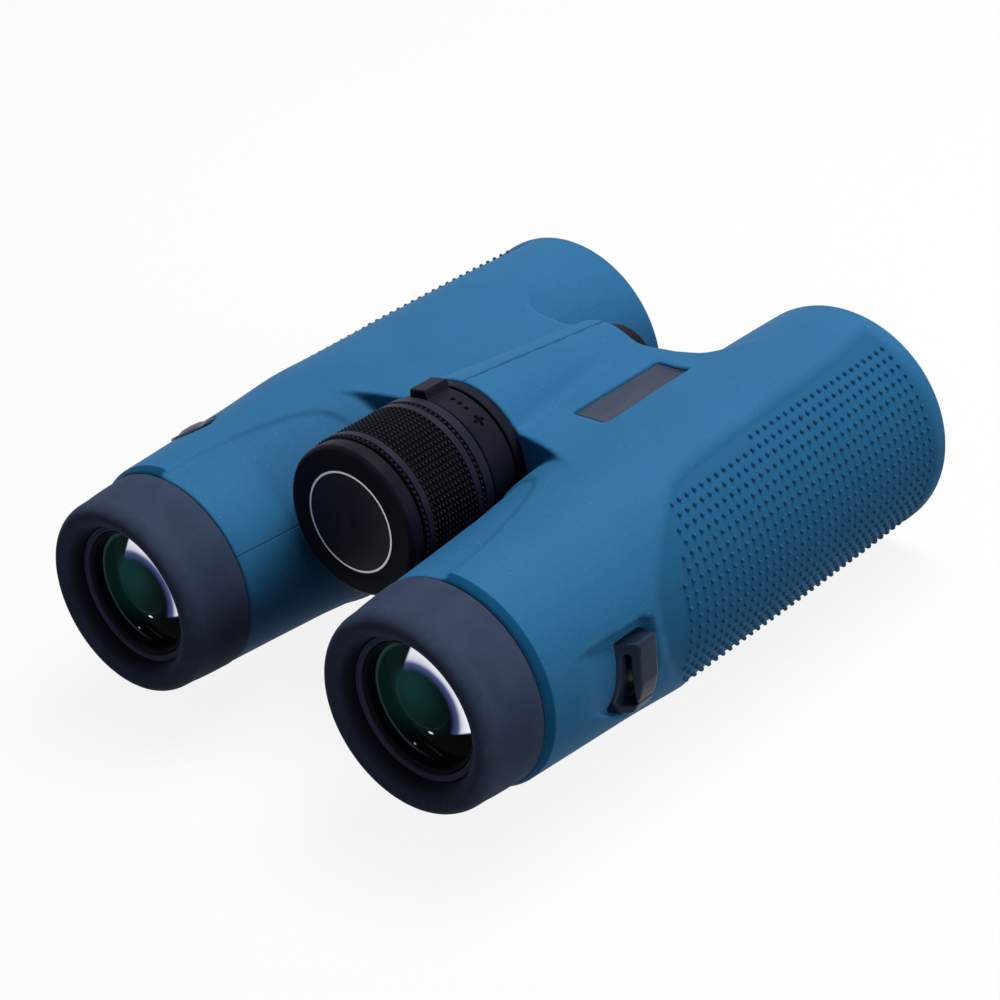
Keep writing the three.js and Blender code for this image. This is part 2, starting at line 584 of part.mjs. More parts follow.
function prismCage() {
  const plateThickness = 2.5;
  const front = CELL_ZONE[0] - 3;
  const rear = PRISM_SEAT + CLEAR;
  const outer = PRISM_BORE_R - CLEAR;
  const plateAt = (from) => toSolid(tube(from, from + plateThickness, PRISM_HOLE_R, outer));
  const plates = [rear, front - plateThickness].map(plateAt);
  const rails = [-1, 1].map((sign) => {
    const rail = toSolid(block(3, front - rear, 18, sign * 14, (front + rear) / 2, 0));
    return rail.intersect(toSolid(rod(rear, front, outer)));
  });
  return join(...plates, ...rails);
}

// The two prisms of a roof-prism pair seen from the side, with an air gap between them.
const PRISM_WIDTH = 22;
const PRISM_REAR = 29;
const HALF_PRISM = [[60, -12], [60, 10], [46.3, 10], [38.6, -12]];
const ROOF_PRISM = [[38, -12.5], [45.7, 9.5], [45.7, 13], [PRISM_REAR, 13], [PRISM_REAR, -3.5]];

function roofPrism() {
  const body = toSolid(alongX(ROOF_PRISM, -PRISM_WIDTH / 2, PRISM_WIDTH / 2));
  const side = 40;
  const roof = new THREE.BoxGeometry(side, side, side).rotateY(Math.PI / 4);
  return body.intersect(toSolid(roof.translate(0, 37, 13.5 - side * Math.SQRT1_2)));
}

function eyepieceTube() {
  const front = PRISM_SEAT - 0.1;
  const stopR = EYE_LENS_R - 2.1;
  return turned([
    [EYEPIECE_END, RING_SEAT_R], [EYEPIECE_END, EYEPIECE_R], [NECK_SHOULDER - 4, EYEPIECE_R],
    [NECK_SHOULDER - 4, NECK_BORE_R - CLEAR], [NECK_SHOULDER - CLEAR, NECK_BORE_R - CLEAR],
    [NECK_SHOULDER - CLEAR, EYEPIECE_BORE_R - CLEAR], [front, EYEPIECE_BORE_R - CLEAR], [front, stopR],
    [front - 1.7, stopR], [front - 1.7, EYE_LENS_R + CLEAR], [2, EYE_LENS_R + CLEAR], [2, RING_SEAT_R],
  ]);
}

function eyecup() {
  const crest = EYECUP_R - EYECUP_ROUND;
  const rim = [];
  for (let step = 0; step <= 5; step += 1) {
    const angle = (Math.PI * step) / 6;
    rim.push([-EYECUP_ROUND * Math.sin(angle), crest + EYECUP_ROUND * Math.cos(angle)]);
  }
  const sleeveRoom = NECK_BORE_R - CLEAR;
  return turned([
    [REAR_END - CLEAR, sleeveRoom], [REAR_END - CLEAR, EYECUP_R + 0.4], [4, EYECUP_R + 0.25], ...rim,
    [0.9, EYEPIECE_R + CLEAR], [2.2, EYEPIECE_R + CLEAR], [2.2, sleeveRoom],
  ], WHEEL_FACETS);
}

function strapLug() {
  const footR = LUG_FLOOR_R + CLEAR;
  const [slotR, barR, outerR] = [footR + 0.8, footR + 2.6, footR + 3.9];
  const [halfSpan, halfSlot] = [0.38, 0.285];
  const arc = (radius, half, steps) => Array.from({ length: steps + 1 }, (_, i) => {
    const angle = LUG_ANGLE - half + (2 * half * i) / steps;
    return [radius * Math.sin(angle), radius * Math.cos(angle)];
  });
  const outline = [...arc(outerR, halfSpan, 8), ...arc(footR, halfSpan, 4).reverse()];
  const slot = [...arc(barR, halfSlot, 6), ...arc(slotR, halfSlot, 4).reverse()];
  const loop = toSolid(alongY(outline, LUG_REAR - 3.2, LUG_FRONT));
  const [low, high] = [footR - 3, footR + 19];
  const slant = [[high, LUG_REAR + 3], [low, LUG_REAR - 5.8], [low, LUG_REAR - 12], [high, LUG_REAR - 12]];
  const opening = toSolid(alongY(slot, LUG_REAR - 8, LUG_FRONT + 4));
  return cut(loop, opening, toSolid(upwards(slant, -REACH, REACH)));
}

for (const [side, sign] of [['left', -1], ['right', 1]]) {
  const barrel = barrels[side];
  const add = (name, shape, material) => placed(`${name}_${side}`, shape, material, barrel);

  add('eyecup', eyecup(), SOFT_RUBBER);
  const sleeve = tube(2.5, REAR_END - CLEAR, EYEPIECE_R + CLEAR, NECK_BORE_R - 2 * CLEAR);
  add('eyecup_sleeve', sleeve, BLACK_PLASTIC);
  add('eyepiece_tube', eyepieceTube(), BLACK_PLASTIC);
  const ringFront = EYEPIECE_END + 0.95;
  add('eyepiece_ring', tube(EYEPIECE_END, ringFront, EYE_LENS_R - 0.7, RING_SEAT_R - CLEAR), ANODISED);
  add('eye_lens', lens(3.2, 6.6, EYE_LENS_R, -1.2, 1.2), LENS_GLASS);
  add('eyepiece_spacer', tube(7.1, 16.4, EYE_LENS_R - 1.2, EYE_LENS_R), ANODISED);
  add('field_lens', lens(17.4, 21.2, EYE_LENS_R, -0.6, 1), LENS_GLASS);
  add('prism_cage', prismCage(), ANODISED);
  add('roof_prism', roofPrism(), PRISM_GLASS);
  add('half_prism', alongX(HALF_PRISM, -PRISM_WIDTH / 2, PRISM_WIDTH / 2), PRISM_GLASS);
  add('focus_cell', turned([
    [CELL_REAR, FOCUS_LENS_R - 2], [CELL_REAR, CELL_BORE_R - CLEAR], [CELL_FRONT, CELL_BORE_R - CLEAR],
    [CELL_FRONT, FOCUS_LENS_R + CLEAR], [CELL_REAR + 2, FOCUS_LENS_R + CLEAR],
    [CELL_REAR + 2, FOCUS_LENS_R - 2],
  ]), ANODISED);
  add('focus_lens', lens(CELL_REAR + 3.4, CELL_REAR + 5.6, FOCUS_LENS_R, 1, 0.6), LENS_GLASS);
  add('objective_cell', turned([
    [OBJECTIVE_SEAT, OBJECTIVE_CLEAR_R - 1.5], [OBJECTIVE_SEAT, OBJECTIVE_BORE_R - CLEAR],
    [OBJECTIVE_RIM, OBJECTIVE_BORE_R - CLEAR], [OBJECTIVE_RIM, OBJECTIVE_LENS_R + CLEAR],
    [OBJECTIVE_SEAT + OBJECTIVE_LIP, OBJECTIVE_LENS_R + CLEAR],
    [OBJECTIVE_SEAT + OBJECTIVE_LIP, OBJECTIVE_CLEAR_R - 1.5],
  ]), ANODISED);
  const flintFront = OBJECTIVE_SEAT + 7.8;
  const crownFront = flintFront + 4.2;
  const objective = (from, to, rear, front) => lens(from, to, OBJECTIVE_LENS_R, rear, front);
  add('objective_flint', objective(OBJECTIVE_SEAT + 3.2, flintFront, -0.6, -1.6), LENS_GLASS);
  add('objective_crown', objective(flintFront + 0.4, crownFront, -1.2, 2.4), LENS_GLASS);
  const retainer = tube(crownFront + CLEAR, crownFront + 2.6, OBJECTIVE_CLEAR_R, OBJECTIVE_LENS_R);
  add('objective_ring', retainer, ANODISED);
  const lug = toGeometry(strapLug());
  if (sign < 0) lug.scale(-1, 1, 1);
  add('strap_lug', lug, GLOSS_BLACK);
}

// Focus drive on the hinge axis: the wheel turns a screw, and the screw draws the carriage and
// with it an arm to each barrel. The right arm's ring can turn, so it follows the right barrel.

const WHEEL_CORE_R = 13.6;
const CAP_SEAT_R = 10.9;
const BOSS_R = 11.7;
const DIOPTER_FRONT = DIOPTER_REAR + DIOPTER_LENGTH;

placed('focus_knob', turned([
  [WHEEL_REAR + 1.4, SPINDLE_R + CLEAR], [WHEEL_REAR + 1.4, CAP_SEAT_R], [WHEEL_REAR, CAP_SEAT_R],
  [WHEEL_REAR, WHEEL_R - 0.6], [WHEEL_REAR + 0.6, WHEEL_R], [WHEEL_REAR + WHEEL_RIM, WHEEL_R],
  [WHEEL_REAR + WHEEL_RIM, WHEEL_CORE_R], [WHEEL_FRONT, WHEEL_CORE_R], [WHEEL_FRONT, SPINDLE_R + CLEAR],
], WHEEL_FACETS), BLACK_PLASTIC, hinge);
placed('focus_cap', rod(WHEEL_REAR + 0.1, WHEEL_REAR + 1.1, CAP_SEAT_R - CLEAR), GLOSS_BLACK, hinge);

const gripRear = WHEEL_REAR + WHEEL_RIM + CLEAR;
const gripFront = WHEEL_FRONT;
placed('focus_grip', turned([
  [gripRear, WHEEL_CORE_R + CLEAR], [gripRear, WHEEL_R], [gripRear + 2.3, WHEEL_R + 0.1],
  [gripRear + 2.9, WHEEL_R + 0.4], [gripFront - 4.5, WHEEL_R + 0.4], [gripFront - 4, WHEEL_R + 0.1],
  [gripFront, WHEEL_R], [gripFront, WHEEL_CORE_R + CLEAR],
], WHEEL_FACETS), KNURLED_BLACK, hinge);

placed('focus_spindle', rod(WHEEL_REAR + 1.5, CARRIAGE.front + 1.2, SPINDLE_R, SMALL_FACETS), STEEL, hinge);
const washer = tube(WHEEL_FRONT + CLEAR, WHEEL_FRONT + 0.8, SPINDLE_R + CLEAR, 9, SMALL_FACETS);
placed('thrust_washer', washer, BRASS, hinge);

placed('rear_collar', turned([
  [WHEEL_FRONT + 1.1, SPINDLE_R + CLEAR], [WHEEL_FRONT + 1.1, BOSS_R], [DIOPTER_FRONT + CLEAR, BOSS_R],
  [DIOPTER_FRONT + CLEAR, COLLAR_R - 0.7], [COLLAR_REAR, COLLAR_R - 0.7], [COLLAR_REAR, COLLAR_R],
  [COLLAR_FRONT, COLLAR_R], [COLLAR_FRONT, SPINDLE_R + CLEAR],
], WHEEL_FACETS), BLACK_PLASTIC, hinge);

function diopterRing() {
  const ring = toSolid(tube(DIOPTER_REAR, DIOPTER_FRONT, BOSS_R + CLEAR, DIOPTER_R, WHEEL_FACETS));
  const lugTop = [[-2.4, DIOPTER_R - 1], [-1.9, DIOPTER_R + 2], [1.9, DIOPTER_R + 2], [2.4, DIOPTER_R - 1]];
  const lugTurn = THREE.MathUtils.degToRad(-14);
  return join(ring, toSolid(alongY(lugTop, DIOPTER_REAR, DIOPTER_FRONT).rotateY(lugTurn)));
}
placed('diopter_ring', diopterRing(), BLACK_PLASTIC, hinge);

function carriage() {
  const sleeve = tube(CARRIAGE.rear, CARRIAGE.front, CARRIAGE.bore, CARRIAGE.sleeve, SMALL_FACETS);
  const flangeR = CHAMBER_R - CLEAR;
  const flange = (from) => toSolid(tube(from, from + CARRIAGE.flange, CARRIAGE.bore, flangeR, SMALL_FACETS));
  const front = ARM.rear + 2 * ARM.thickness + 2 * CLEAR;
  return join(toSolid(sleeve), flange(CARRIAGE.rear), flange(front));
}
placed('focus_carriage', carriage(), BRASS, hinge);

function focusArm(side, from) {
  const to = from + ARM.thickness;
  const ring = toSolid(tube(from, to, CARRIAGE.sleeve + CLEAR, CHAMBER_R - CLEAR, SMALL_FACETS));
  const end = AXIS_DISTANCE - CELL_BORE_R;
  const bar = block(end - 7, ARM.thickness, ARM.width, (end + 7) / 2, (from + to) / 2, 0).rotateY(DROOP);
  if (side === 'left') bar.scale(-1, 1, 1);
  return join(ring, toSolid(bar));
}
placed('focus_arm_left', focusArm('left', ARM.rear), STEEL, hinge);
placed('focus_arm_right', focusArm('right', ARM.rear + ARM.thickness + CLEAR), STEEL, hinge);

// Hinge pieces: a hollow bush behind the focus chamber, a shaft with a tripod socket before it,
// the nut that holds the knuckles together, and the cap that closes the socket

const SOCKET_R = 3.1;
const SOCKET_END = BRIDGE_FRONT - 9.8;
const bush = tube(COLLAR_FRONT + CLEAR, CHAMBER_REAR - CLEAR, SPINDLE_R + CLEAR, BUSH_R, SMALL_FACETS);
placed('hinge_bush', bush, STEEL, hinge);
placed('hinge_shaft', turned([
  [CHAMBER_FRONT + 0.6, 0], [CHAMBER_FRONT + 0.6, SHAFT_R], [BRIDGE_FRONT, SHAFT_R], [BRIDGE_FRONT, SOCKET_R],
  [SOCKET_END, SOCKET_R], [SOCKET_END, 0],
], SMALL_FACETS), STEEL, hinge);
const nut = tube(BRIDGE_FRONT - 2.2 + CLEAR, BRIDGE_FRONT, SHAFT_R + CLEAR, KNUCKLE_R_FRONT, SMALL_FACETS);
placed('hinge_nut', nut, STEEL, hinge);
placed('tripod_cap', turned([
  [SOCKET_END + 2, 0], [SOCKET_END + 2, SOCKET_R - CLEAR], [BRIDGE_FRONT + CLEAR, SOCKET_R - CLEAR],
  [BRIDGE_FRONT + CLEAR, CAP_R],
  [CAP_FRONT - 0.8, CAP_R], [CAP_FRONT, CAP_R - 0.8], [CAP_FRONT, 0],
]), BLACK_PLASTIC, hinge);

// The origin goes to the middle of the underside.

assembly.position.set(0, -(FRONT_END - EYECUP_ROUND) / 2, BARREL_R);
const binoculars = new THREE.Group();
binoculars.add(assembly);

export default binoculars;
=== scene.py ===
# %% [markdown]
# # Roof-prism binoculars in a moulded rubber armour
#
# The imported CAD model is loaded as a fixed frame: its nodes say where everything is and which
# body each piece moves with. This lesson dresses that frame. Pieces that show are made again
# with finer shapes, and the hidden ones keep their CAD mesh and get a finish.

# %% Load the frame
import math
import bmesh
import bpy
import numpy as np
from mathutils import Matrix, Vector


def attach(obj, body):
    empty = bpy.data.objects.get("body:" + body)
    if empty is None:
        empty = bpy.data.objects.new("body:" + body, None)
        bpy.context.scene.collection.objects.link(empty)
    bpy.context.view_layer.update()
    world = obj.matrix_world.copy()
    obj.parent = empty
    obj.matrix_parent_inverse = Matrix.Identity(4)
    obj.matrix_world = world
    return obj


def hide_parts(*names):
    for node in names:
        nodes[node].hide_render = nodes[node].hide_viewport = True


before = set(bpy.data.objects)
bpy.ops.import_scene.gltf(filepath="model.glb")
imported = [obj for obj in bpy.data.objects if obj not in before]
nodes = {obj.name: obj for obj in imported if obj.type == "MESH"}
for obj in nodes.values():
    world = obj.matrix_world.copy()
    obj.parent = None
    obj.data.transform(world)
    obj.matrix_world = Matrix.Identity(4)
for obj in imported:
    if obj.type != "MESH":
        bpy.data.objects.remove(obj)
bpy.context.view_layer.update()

# %% [markdown]
# ## The drawing frame
#
# All shapes are drawn in millimetres in the frame of a designer's drawing: X to the right
# barrel, Y from the eyecups to the objectives, Z up, with z = 0 in the plane of the two barrel
# axes and y = 0 at the widest ring of the eyecup rims. One function carries finished points
# into the row frame, in metres, so no object has to be moved afterwards.

# %% Named sizes
BARREL_X = 37.0          # barrel axis from the middle plane
HINGE_Z = 15.65          # hinge axis above the barrel axes
FRONT = 138.75           # front of the rubber rim
REAR = 11.1              # rear edge of the armour
BEVEL_R, BEVEL_SLOPE, BEVEL_END = 21.35, 0.6, 13.4    # bevel at the rear edge of the armour
SIDES = (("right", 1), ("left", -1))
SHIFT = np.array([0.0, -67.125, 25.9])


def to_frame(points):
    """Millimetres of the drawing to metres of the row frame."""
    return (np.asarray(points, float) + SHIFT) * 0.001


hinge_z = (HINGE_Z + SHIFT[2]) * 0.001
print("hinge axis height in m:", hinge_z)

# %% [markdown]
# ## Meshes from whole arrays
#
# A shape is worked out as arrays of points and put into a mesh in one go. A grid of points
# over two parameters gives quads between neighbours, and a direction that closes on itself
# wraps round. Where a profile ends on its axis the row of points shrinks to one, so doubles
# are merged afterwards.

# %% Mesh helpers
def add_object(name, data):
    """An object for some data, linked to the scene."""
    made = bpy.data.objects.new(name, data)
    bpy.context.scene.collection.objects.link(made)
    return made


def put_mesh(name, points, faces, finish, body, slot, replaces=(), sharp=None, merge=False):
    """An object from drawing points and faces, riding on a body, smooth except at sharp angles."""
    mesh = bpy.data.meshes.new(name)
    corners = np.asarray(faces, np.int32)
    mesh.vertices.add(len(points))
    mesh.vertices.foreach_set("co", to_frame(points).astype(np.float32).ravel())
    mesh.loops.add(corners.size)
    mesh.loops.foreach_set("vertex_index", corners.ravel())
    mesh.polygons.add(len(corners))
    mesh.polygons.foreach_set("loop_start", np.arange(0, corners.size, corners.shape[1], dtype=np.int32))
    mesh.update(calc_edges=True)
    mesh.validate()
    if merge:
        shell = bmesh.new()
        shell.from_mesh(mesh)
        bmesh.ops.remove_doubles(shell, verts=shell.verts, dist=2e-6)
        bmesh.ops.recalc_face_normals(shell, faces=shell.faces)
        shell.to_mesh(mesh)
        shell.free()
    mesh.shade_smooth()
    if sharp:
        mesh.set_sharp_from_angle(angle=math.radians(sharp))
    mesh.materials.append(finish)
    piece = add_object(name, mesh)
    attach(piece, body)
    if replaces:
        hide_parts(*replaces)
    print(f"{name}: {len(mesh.vertices)} points, {len(mesh.polygons)} faces")
    return piece


def grid_quads(rows, columns, wrap_rows=False, wrap_columns=True):
    """Quads between neighbours of a rows x columns grid; a wrapped direction joins its ends."""
    i = np.arange(rows if wrap_rows else rows - 1)
    j = np.arange(columns if wrap_columns else columns - 1)
    i, j = np.meshgrid(i, j, indexing="ij")
    a = i * columns + j
    b = i * columns + (j + 1) % columns
    c = ((i + 1) % rows) * columns + (j + 1) % columns
    d = ((i + 1) % rows) * columns + j
    return np.stack([a, b, c, d], -1).reshape(-1, 4)


def rounded(profile, radius, steps=3):
    """A closed profile whose corners become arcs: each corner is replaced by points on the
    quadratic curve from a point before it to a point after it, at most `radius` away."""
    p = np.asarray(profile, float)
    before, after = np.roll(p, 1, 0) - p, np.roll(p, -1, 0) - p
    lb, la = np.linalg.norm(before, axis=1, keepdims=True), np.linalg.norm(after, axis=1, keepdims=True)
    start = p + before / lb * np.minimum(radius, 0.45 * lb)
    end = p + after / la * np.minimum(radius, 0.45 * la)
    t = np.linspace(0, 1, steps + 1)[None, :, None]
    arcs = (1 - t) ** 2 * start[:, None] + 2 * t * (1 - t) * p[:, None] + t ** 2 * end[:, None]
    return arcs.reshape(-1, 2)


def turned(profile, centre, segments=128):
    """Points of a closed [station, radius] profile turned about an axis along Y through
    centre = (x, z): x = cx + r sin a, y = station, z = cz + r cos a."""
    p = np.asarray(profile, float)
    angle = np.linspace(0, 2 * np.pi, segments, endpoint=False)
    x = centre[0] + p[:, 1:2] * np.sin(angle)
    z = centre[1] + p[:, 1:2] * np.cos(angle)
    y = np.repeat(p[:, :1], segments, 1)
    return np.stack([x, y, z], -1).reshape(-1, 3), grid_quads(len(p), segments, wrap_rows=True)


def turned_piece(name, profile, centre, finish, body, slot, replaces=(), segments=128,
                 radius=0.15, sharp=38):
    """A turned piece with a small rounding on its corners."""
    points, quads = turned(rounded(profile, radius) if radius else profile, centre, segments)
    put_mesh(name, points, quads, finish, body, slot, replaces, sharp, merge=True)


def on_barrels(table):
    """Turned pieces on the right barrel, then on the left. A row holds a name, a profile, a finish,
    the names of body and slot, the CAD node that the piece stands for, and options."""
    for side, sign in SIDES:
        for name, profile, finish, body, slot, node, options in table:
            turned_piece(f"{name}_{side}", profile, (sign * BARREL_X, 0.0), finish, f"{side}_{body}", slot,
                         [f"{node}_{side}"], **options)


def mirrored(points, faces, sign):
    """A mesh of the right side as it is, or with sign -1 the left one: mirrored, and its faces
    turned round so that they still look outwards."""
    return points * [sign, 1, 1], faces[:, ::sign]


# %% [markdown]
# ## Finishes
#
# A finish is a Principled material whose colour, roughness and bump vary over the surface.
# Shader maths reads like Python: a small class wraps a socket, and its operators add Math
# nodes. One method adds every other node. Numbers that are the same all over the surface are
# set on the shader itself.

# %% Shader helpers
class Wire:
    """An output socket that can be calculated with."""

    def __init__(self, tree, socket):
        self.tree, self.socket = tree, socket

    def maths(self, operation, first, *others):
        node = self.tree.nodes.new("ShaderNodeMath")
        node.operation = operation
        for socket, value in zip(node.inputs, (first, *others)):
            join_socket(self.tree, socket, value)
        return Wire(self.tree, node.outputs[0])

    def __add__(self, other): return self.maths("ADD", self, other)
    def __radd__(self, other): return self.maths("ADD", other, self)
    def __sub__(self, other): return self.maths("SUBTRACT", self, other)
    def __rsub__(self, other): return self.maths("SUBTRACT", other, self)
    def __mul__(self, other): return self.maths("MULTIPLY", self, other)
    def __rmul__(self, other): return self.maths("MULTIPLY", other, self)
    def root(self): return self.maths("SQRT", self)
    def size(self): return self.maths("ABSOLUTE", self)
    def larger(self, other): return self.maths("MAXIMUM", self, other)

    def step(self, low, high):
        """0 below low, 1 above high and a smooth rise between them."""
        node = self.tree.nodes.new("ShaderNodeMapRange")
        node.interpolation_type = "SMOOTHSTEP"
        for socket, value in zip(node.inputs, (self, low, high, 0.0, 1.0)):
            join_socket(self.tree, socket, value)
        return Wire(self.tree, node.outputs[0])

    def fall(self, low, high):
        """1 below low, 0 above high and a smooth fall between them."""
        return 1.0 - self.step(low, high)

    def far(self, other):
        """Length of a line whose two parts are this value and another."""
        return (self * self + other * other).root()


def join_socket(tree, socket, value):
    if isinstance(value, Wire):
        tree.links.new(value.socket, socket)
    else:
        socket.default_value = value


def paint(red, green, blue):
    """A colour as seen on a screen, 0 to 255, as linear light."""
    c = np.array([red, green, blue]) / 255
    linear = np.where(c <= 0.04045, c / 12.92, ((c + 0.055) / 1.055) ** 2.4)
    return (*linear.tolist(), 1.0)


def shaded(colour, factor, plus=0.0):
    """A lighter or darker shade of a colour."""
    return (*(min(1.0, factor * c + plus) for c in colour[:3]), 1.0)


class Finish:
    """A Principled material under construction."""

    def __init__(self, name, colour, roughness, **fixed):
        self.material = bpy.data.materials.new(name)
        self.material.use_nodes = True
        self.tree = self.material.node_tree
        self.shader = self.tree.nodes["Principled BSDF"]
        self.shader.inputs["Base Color"].default_value = colour
        self.shader.inputs["Roughness"].default_value = roughness
        for socket, value in fixed.items():
            self.shader.inputs[socket.replace("_", " ")].default_value = value

    def add(self, kind, settings=None, output=0, **sockets):
        """A node of a kind: its settings first, then its sockets, then the chosen output."""
        node = self.tree.nodes.new(kind)
        for key, value in (settings or {}).items():
            setattr(node, key, value)
        for key, value in sockets.items():
            join_socket(self.tree, node.inputs[key.replace("_", " ")], value)
        return Wire(self.tree, node.outputs[output])

    def place(self):
        """Object coordinates, in metres, and their three parts."""
        where = self.add("ShaderNodeTexCoord", output="Object")
        parts = self.add("ShaderNodeSeparateXYZ", Vector=where)
        outputs = parts.socket.node.outputs
        return where, *[Wire(self.tree, outputs[k]) for k in range(3)]

    def noise(self, where, scale, detail=2.0, roughness=0.5):
        return self.add("ShaderNodeTexNoise", Vector=where, Scale=scale, Detail=detail, Roughness=roughness)

    def blend(self, factor, first, second):
        """A colour between two colours."""
        node = self.tree.nodes.new("ShaderNodeMix")
        node.data_type = "RGBA"
        for socket, value in zip((node.inputs[0], node.inputs[6], node.inputs[7]), (factor, first, second)):
            join_socket(self.tree, socket, value)
        return Wire(self.tree, node.outputs[2])

    def layers(self, colour, *pairs):
        """A colour under others, each laid on with its own factor."""
        for factor, other in pairs:
            colour = self.blend(factor, colour, other)
        return colour

    def feed(self, socket, value):
        join_socket(self.tree, self.shader.inputs[socket], value)

    def done(self, colour, roughness, height, distance, strength=0.7):
        """The material, with a colour, a roughness, and bumps of a height, 0 to 1, times a distance
        in metres."""
        self.feed("Base Color", colour)
        self.feed("Roughness", roughness)
        self.feed("Normal", self.add("ShaderNodeBump", Height=height, Distance=distance, Strength=strength))
        return self.material


def from_barrel(x, y, z):
    """Millimetres from the axis of the barrel on the point's own side, and the station along it."""
    return (x.size() - 0.001 * BARREL_X).far(z - 0.001 * SHIFT[2]) * 1000.0, y * 1000.0 - SHIFT[1]


def from_hinge(x, z):
    """Millimetres from the hinge axis."""
    return x.far(z - hinge_z) * 1000.0


# %% [markdown]
# ### Armour rubber
#
# The armour is a teal blue moulded rubber with a very fine spark-eroded grain and a soft
# sheen. The colour is a little uneven, and here and there a speck of dust catches the light.
# A fine parting line of the mould runs along the inner side of each barrel. The bevel behind
# the eyecup, which faces away from the light, and the sunk grip panel are painted darker as shade.

# %% Armour rubber
def armour_finish():
    made = Finish("armour_rubber", paint(44, 108, 154), 0.55, Specular_IOR_Level=0.06)
    where, x, y, z = made.place()
    from_axis, station = from_barrel(x, y, z)
    cloud = made.noise(where, 38.0, 3.0)
    grain = made.noise(where, 3300.0, 2.0, 0.6)
    fine = made.noise(where, 9000.0, 1.0)
    specks = made.noise(where, 1900.0, 0.0).step(0.82, 0.87)
    inner = (0.0365 - x.size()).step(0.0, 0.0003) * (0.0 - y).step(0.004, 0.012)
    line = ((z - 0.0349).size() * 1000.0).fall(0.06, 0.20) * inner
    # Painted shade: the bevel behind the eyecup faces away from the light and is painted a deeper teal.
    bevel_painted_shade = (from_axis - (station - REAR) * BEVEL_SLOPE).step(BEVEL_R - 0.12, BEVEL_R - 0.06)
    bevel_painted_shade = bevel_painted_shade * station.fall(BEVEL_END - 0.05, BEVEL_END + 0.1)
    # Painted shade: the sunk grip panel, read from the skin's panel attribute, is painted darker.
    panel = made.add("ShaderNodeAttribute", {"attribute_name": "panel"})
    colour = made.layers(
        made.blend(cloud.step(0.25, 0.75), paint(42, 105, 150), paint(47, 111, 158)),
        (grain.step(0.42, 0.72) * 0.3, paint(68, 132, 178)), (specks * 0.35, paint(120, 168, 200)),
        (line * 0.5, paint(20, 54, 86)), (panel * 0.85, paint(34, 95, 137)), (bevel_painted_shade, paint(15, 84, 126)))
    height = grain * 0.7 + fine * 0.3 - line * 2.0
    return made.done(colour, 0.5 + 0.12 * grain + 0.08 * cloud, height, 0.00005, 0.8)


ARMOUR = armour_finish()
print("armour rubber made with", len(ARMOUR.node_tree.nodes), "nodes")

# %% [markdown]
# ### Soft rubber, black plastics and metals
#
# The eyecups are a darker, softer rubber that looks powdery and is rubbed lighter along the
# rim; their inner lip is painted lighter as light, and the roll beside it is painted dark as shade.
# The wheel, the diopter ring and the collar are black plastic with a fine eroded texture that
# takes a grey sheen on top; the gaps of the knurling and the sunk marks are painted nearly black
# as shade, and the grip dots are painted darker than the armour as shade. The strap lugs are
# smooth and shiny.

# %% Black finishes
def soft_rubber_finish():
    made = Finish("soft_rubber", paint(56, 67, 90), 0.72, Specular_IOR_Level=0.06)
    where, x, y, z = made.place()
    from_axis, station = from_barrel(x, y, z)
    cloud = made.noise(where, 120.0, 4.0, 0.6)
    grain = made.noise(where, 5200.0, 2.0)
    rubbed = (0.0 - y).step(0.0655, 0.0712) * made.noise(where, 420.0, 5.0, 0.7).step(0.5, 0.75)
    # Painted light: the inner lip, which the rim shades, is painted lighter.
    lip_painted_light = from_axis.fall(14.7, 14.76) * station.fall(0.8, 1.2)
    # Painted shade: the inner side of the roll, down to the groove by the lip, is painted nearly black.
    groove = from_axis.fall(14.85, 16.6) * from_axis.step(14.72, 14.8)
    colour = made.layers(
        made.blend(cloud.step(0.3, 0.7), paint(52, 63, 85), paint(59, 70, 94)),
        (rubbed * 0.3, paint(90, 100, 122)), (lip_painted_light * 0.8, paint(88, 102, 134)),
        (groove * 0.8, paint(8, 10, 16)))
    return made.done(colour, 0.66 + 0.12 * cloud + 0.08 * grain, grain, 0.00004)


def black_plastic(name, colour, roughness, grain_scale=4200.0, depth=0.00003, worn=0.0, painted_shade_below=None,
                  **fixed):
    """Textured plastic or rubber. Where limits are given, what lies deeper than those radii round the
    hinge axis, in millimetres, is painted nearly black as shade: the gaps of the knurling and sunk marks."""
    made = Finish(name, colour, roughness, **fixed)
    where, x, y, z = made.place()
    cloud = made.noise(where, 160.0, 3.0)
    grain = made.noise(where, grain_scale, 2.0)
    factor = cloud.step(0.35, 0.8) * 0.3 + grain.step(0.55, 0.8) * worn
    shade = made.blend(factor, colour, shaded(colour, 1.7, 0.003))
    # Painted shade: what lies deeper than the given radii is made nearly black.
    if painted_shade_below:
        shade = made.blend(from_hinge(x, z).step(*painted_shade_below), paint(5, 5, 7), shade)
    return made.done(shade, roughness - 0.06 + 0.12 * cloud + 0.06 * grain, grain, depth)


SOFT = soft_rubber_finish()
PLASTIC = black_plastic("black_plastic", paint(24, 27, 37), 0.4, worn=0.2, Specular_IOR_Level=0.03)
# The sunk marks and the knurling's gaps get painted shade below the given radii.
MARKED = black_plastic("marked_plastic", paint(25, 28, 38), 0.4, worn=0.2, painted_shade_below=(15.2, 15.42),
                       Specular_IOR_Level=0.03)
KNURLED = black_plastic("knurled_rubber", paint(34, 37, 50), 0.42, worn=0.3, painted_shade_below=(15.9, 16.2),
                        Specular_IOR_Level=0.04)
GLOSS = black_plastic("gloss_black", paint(34, 48, 70), 0.26, 2600.0, 0.000008, Specular_IOR_Level=0.08)
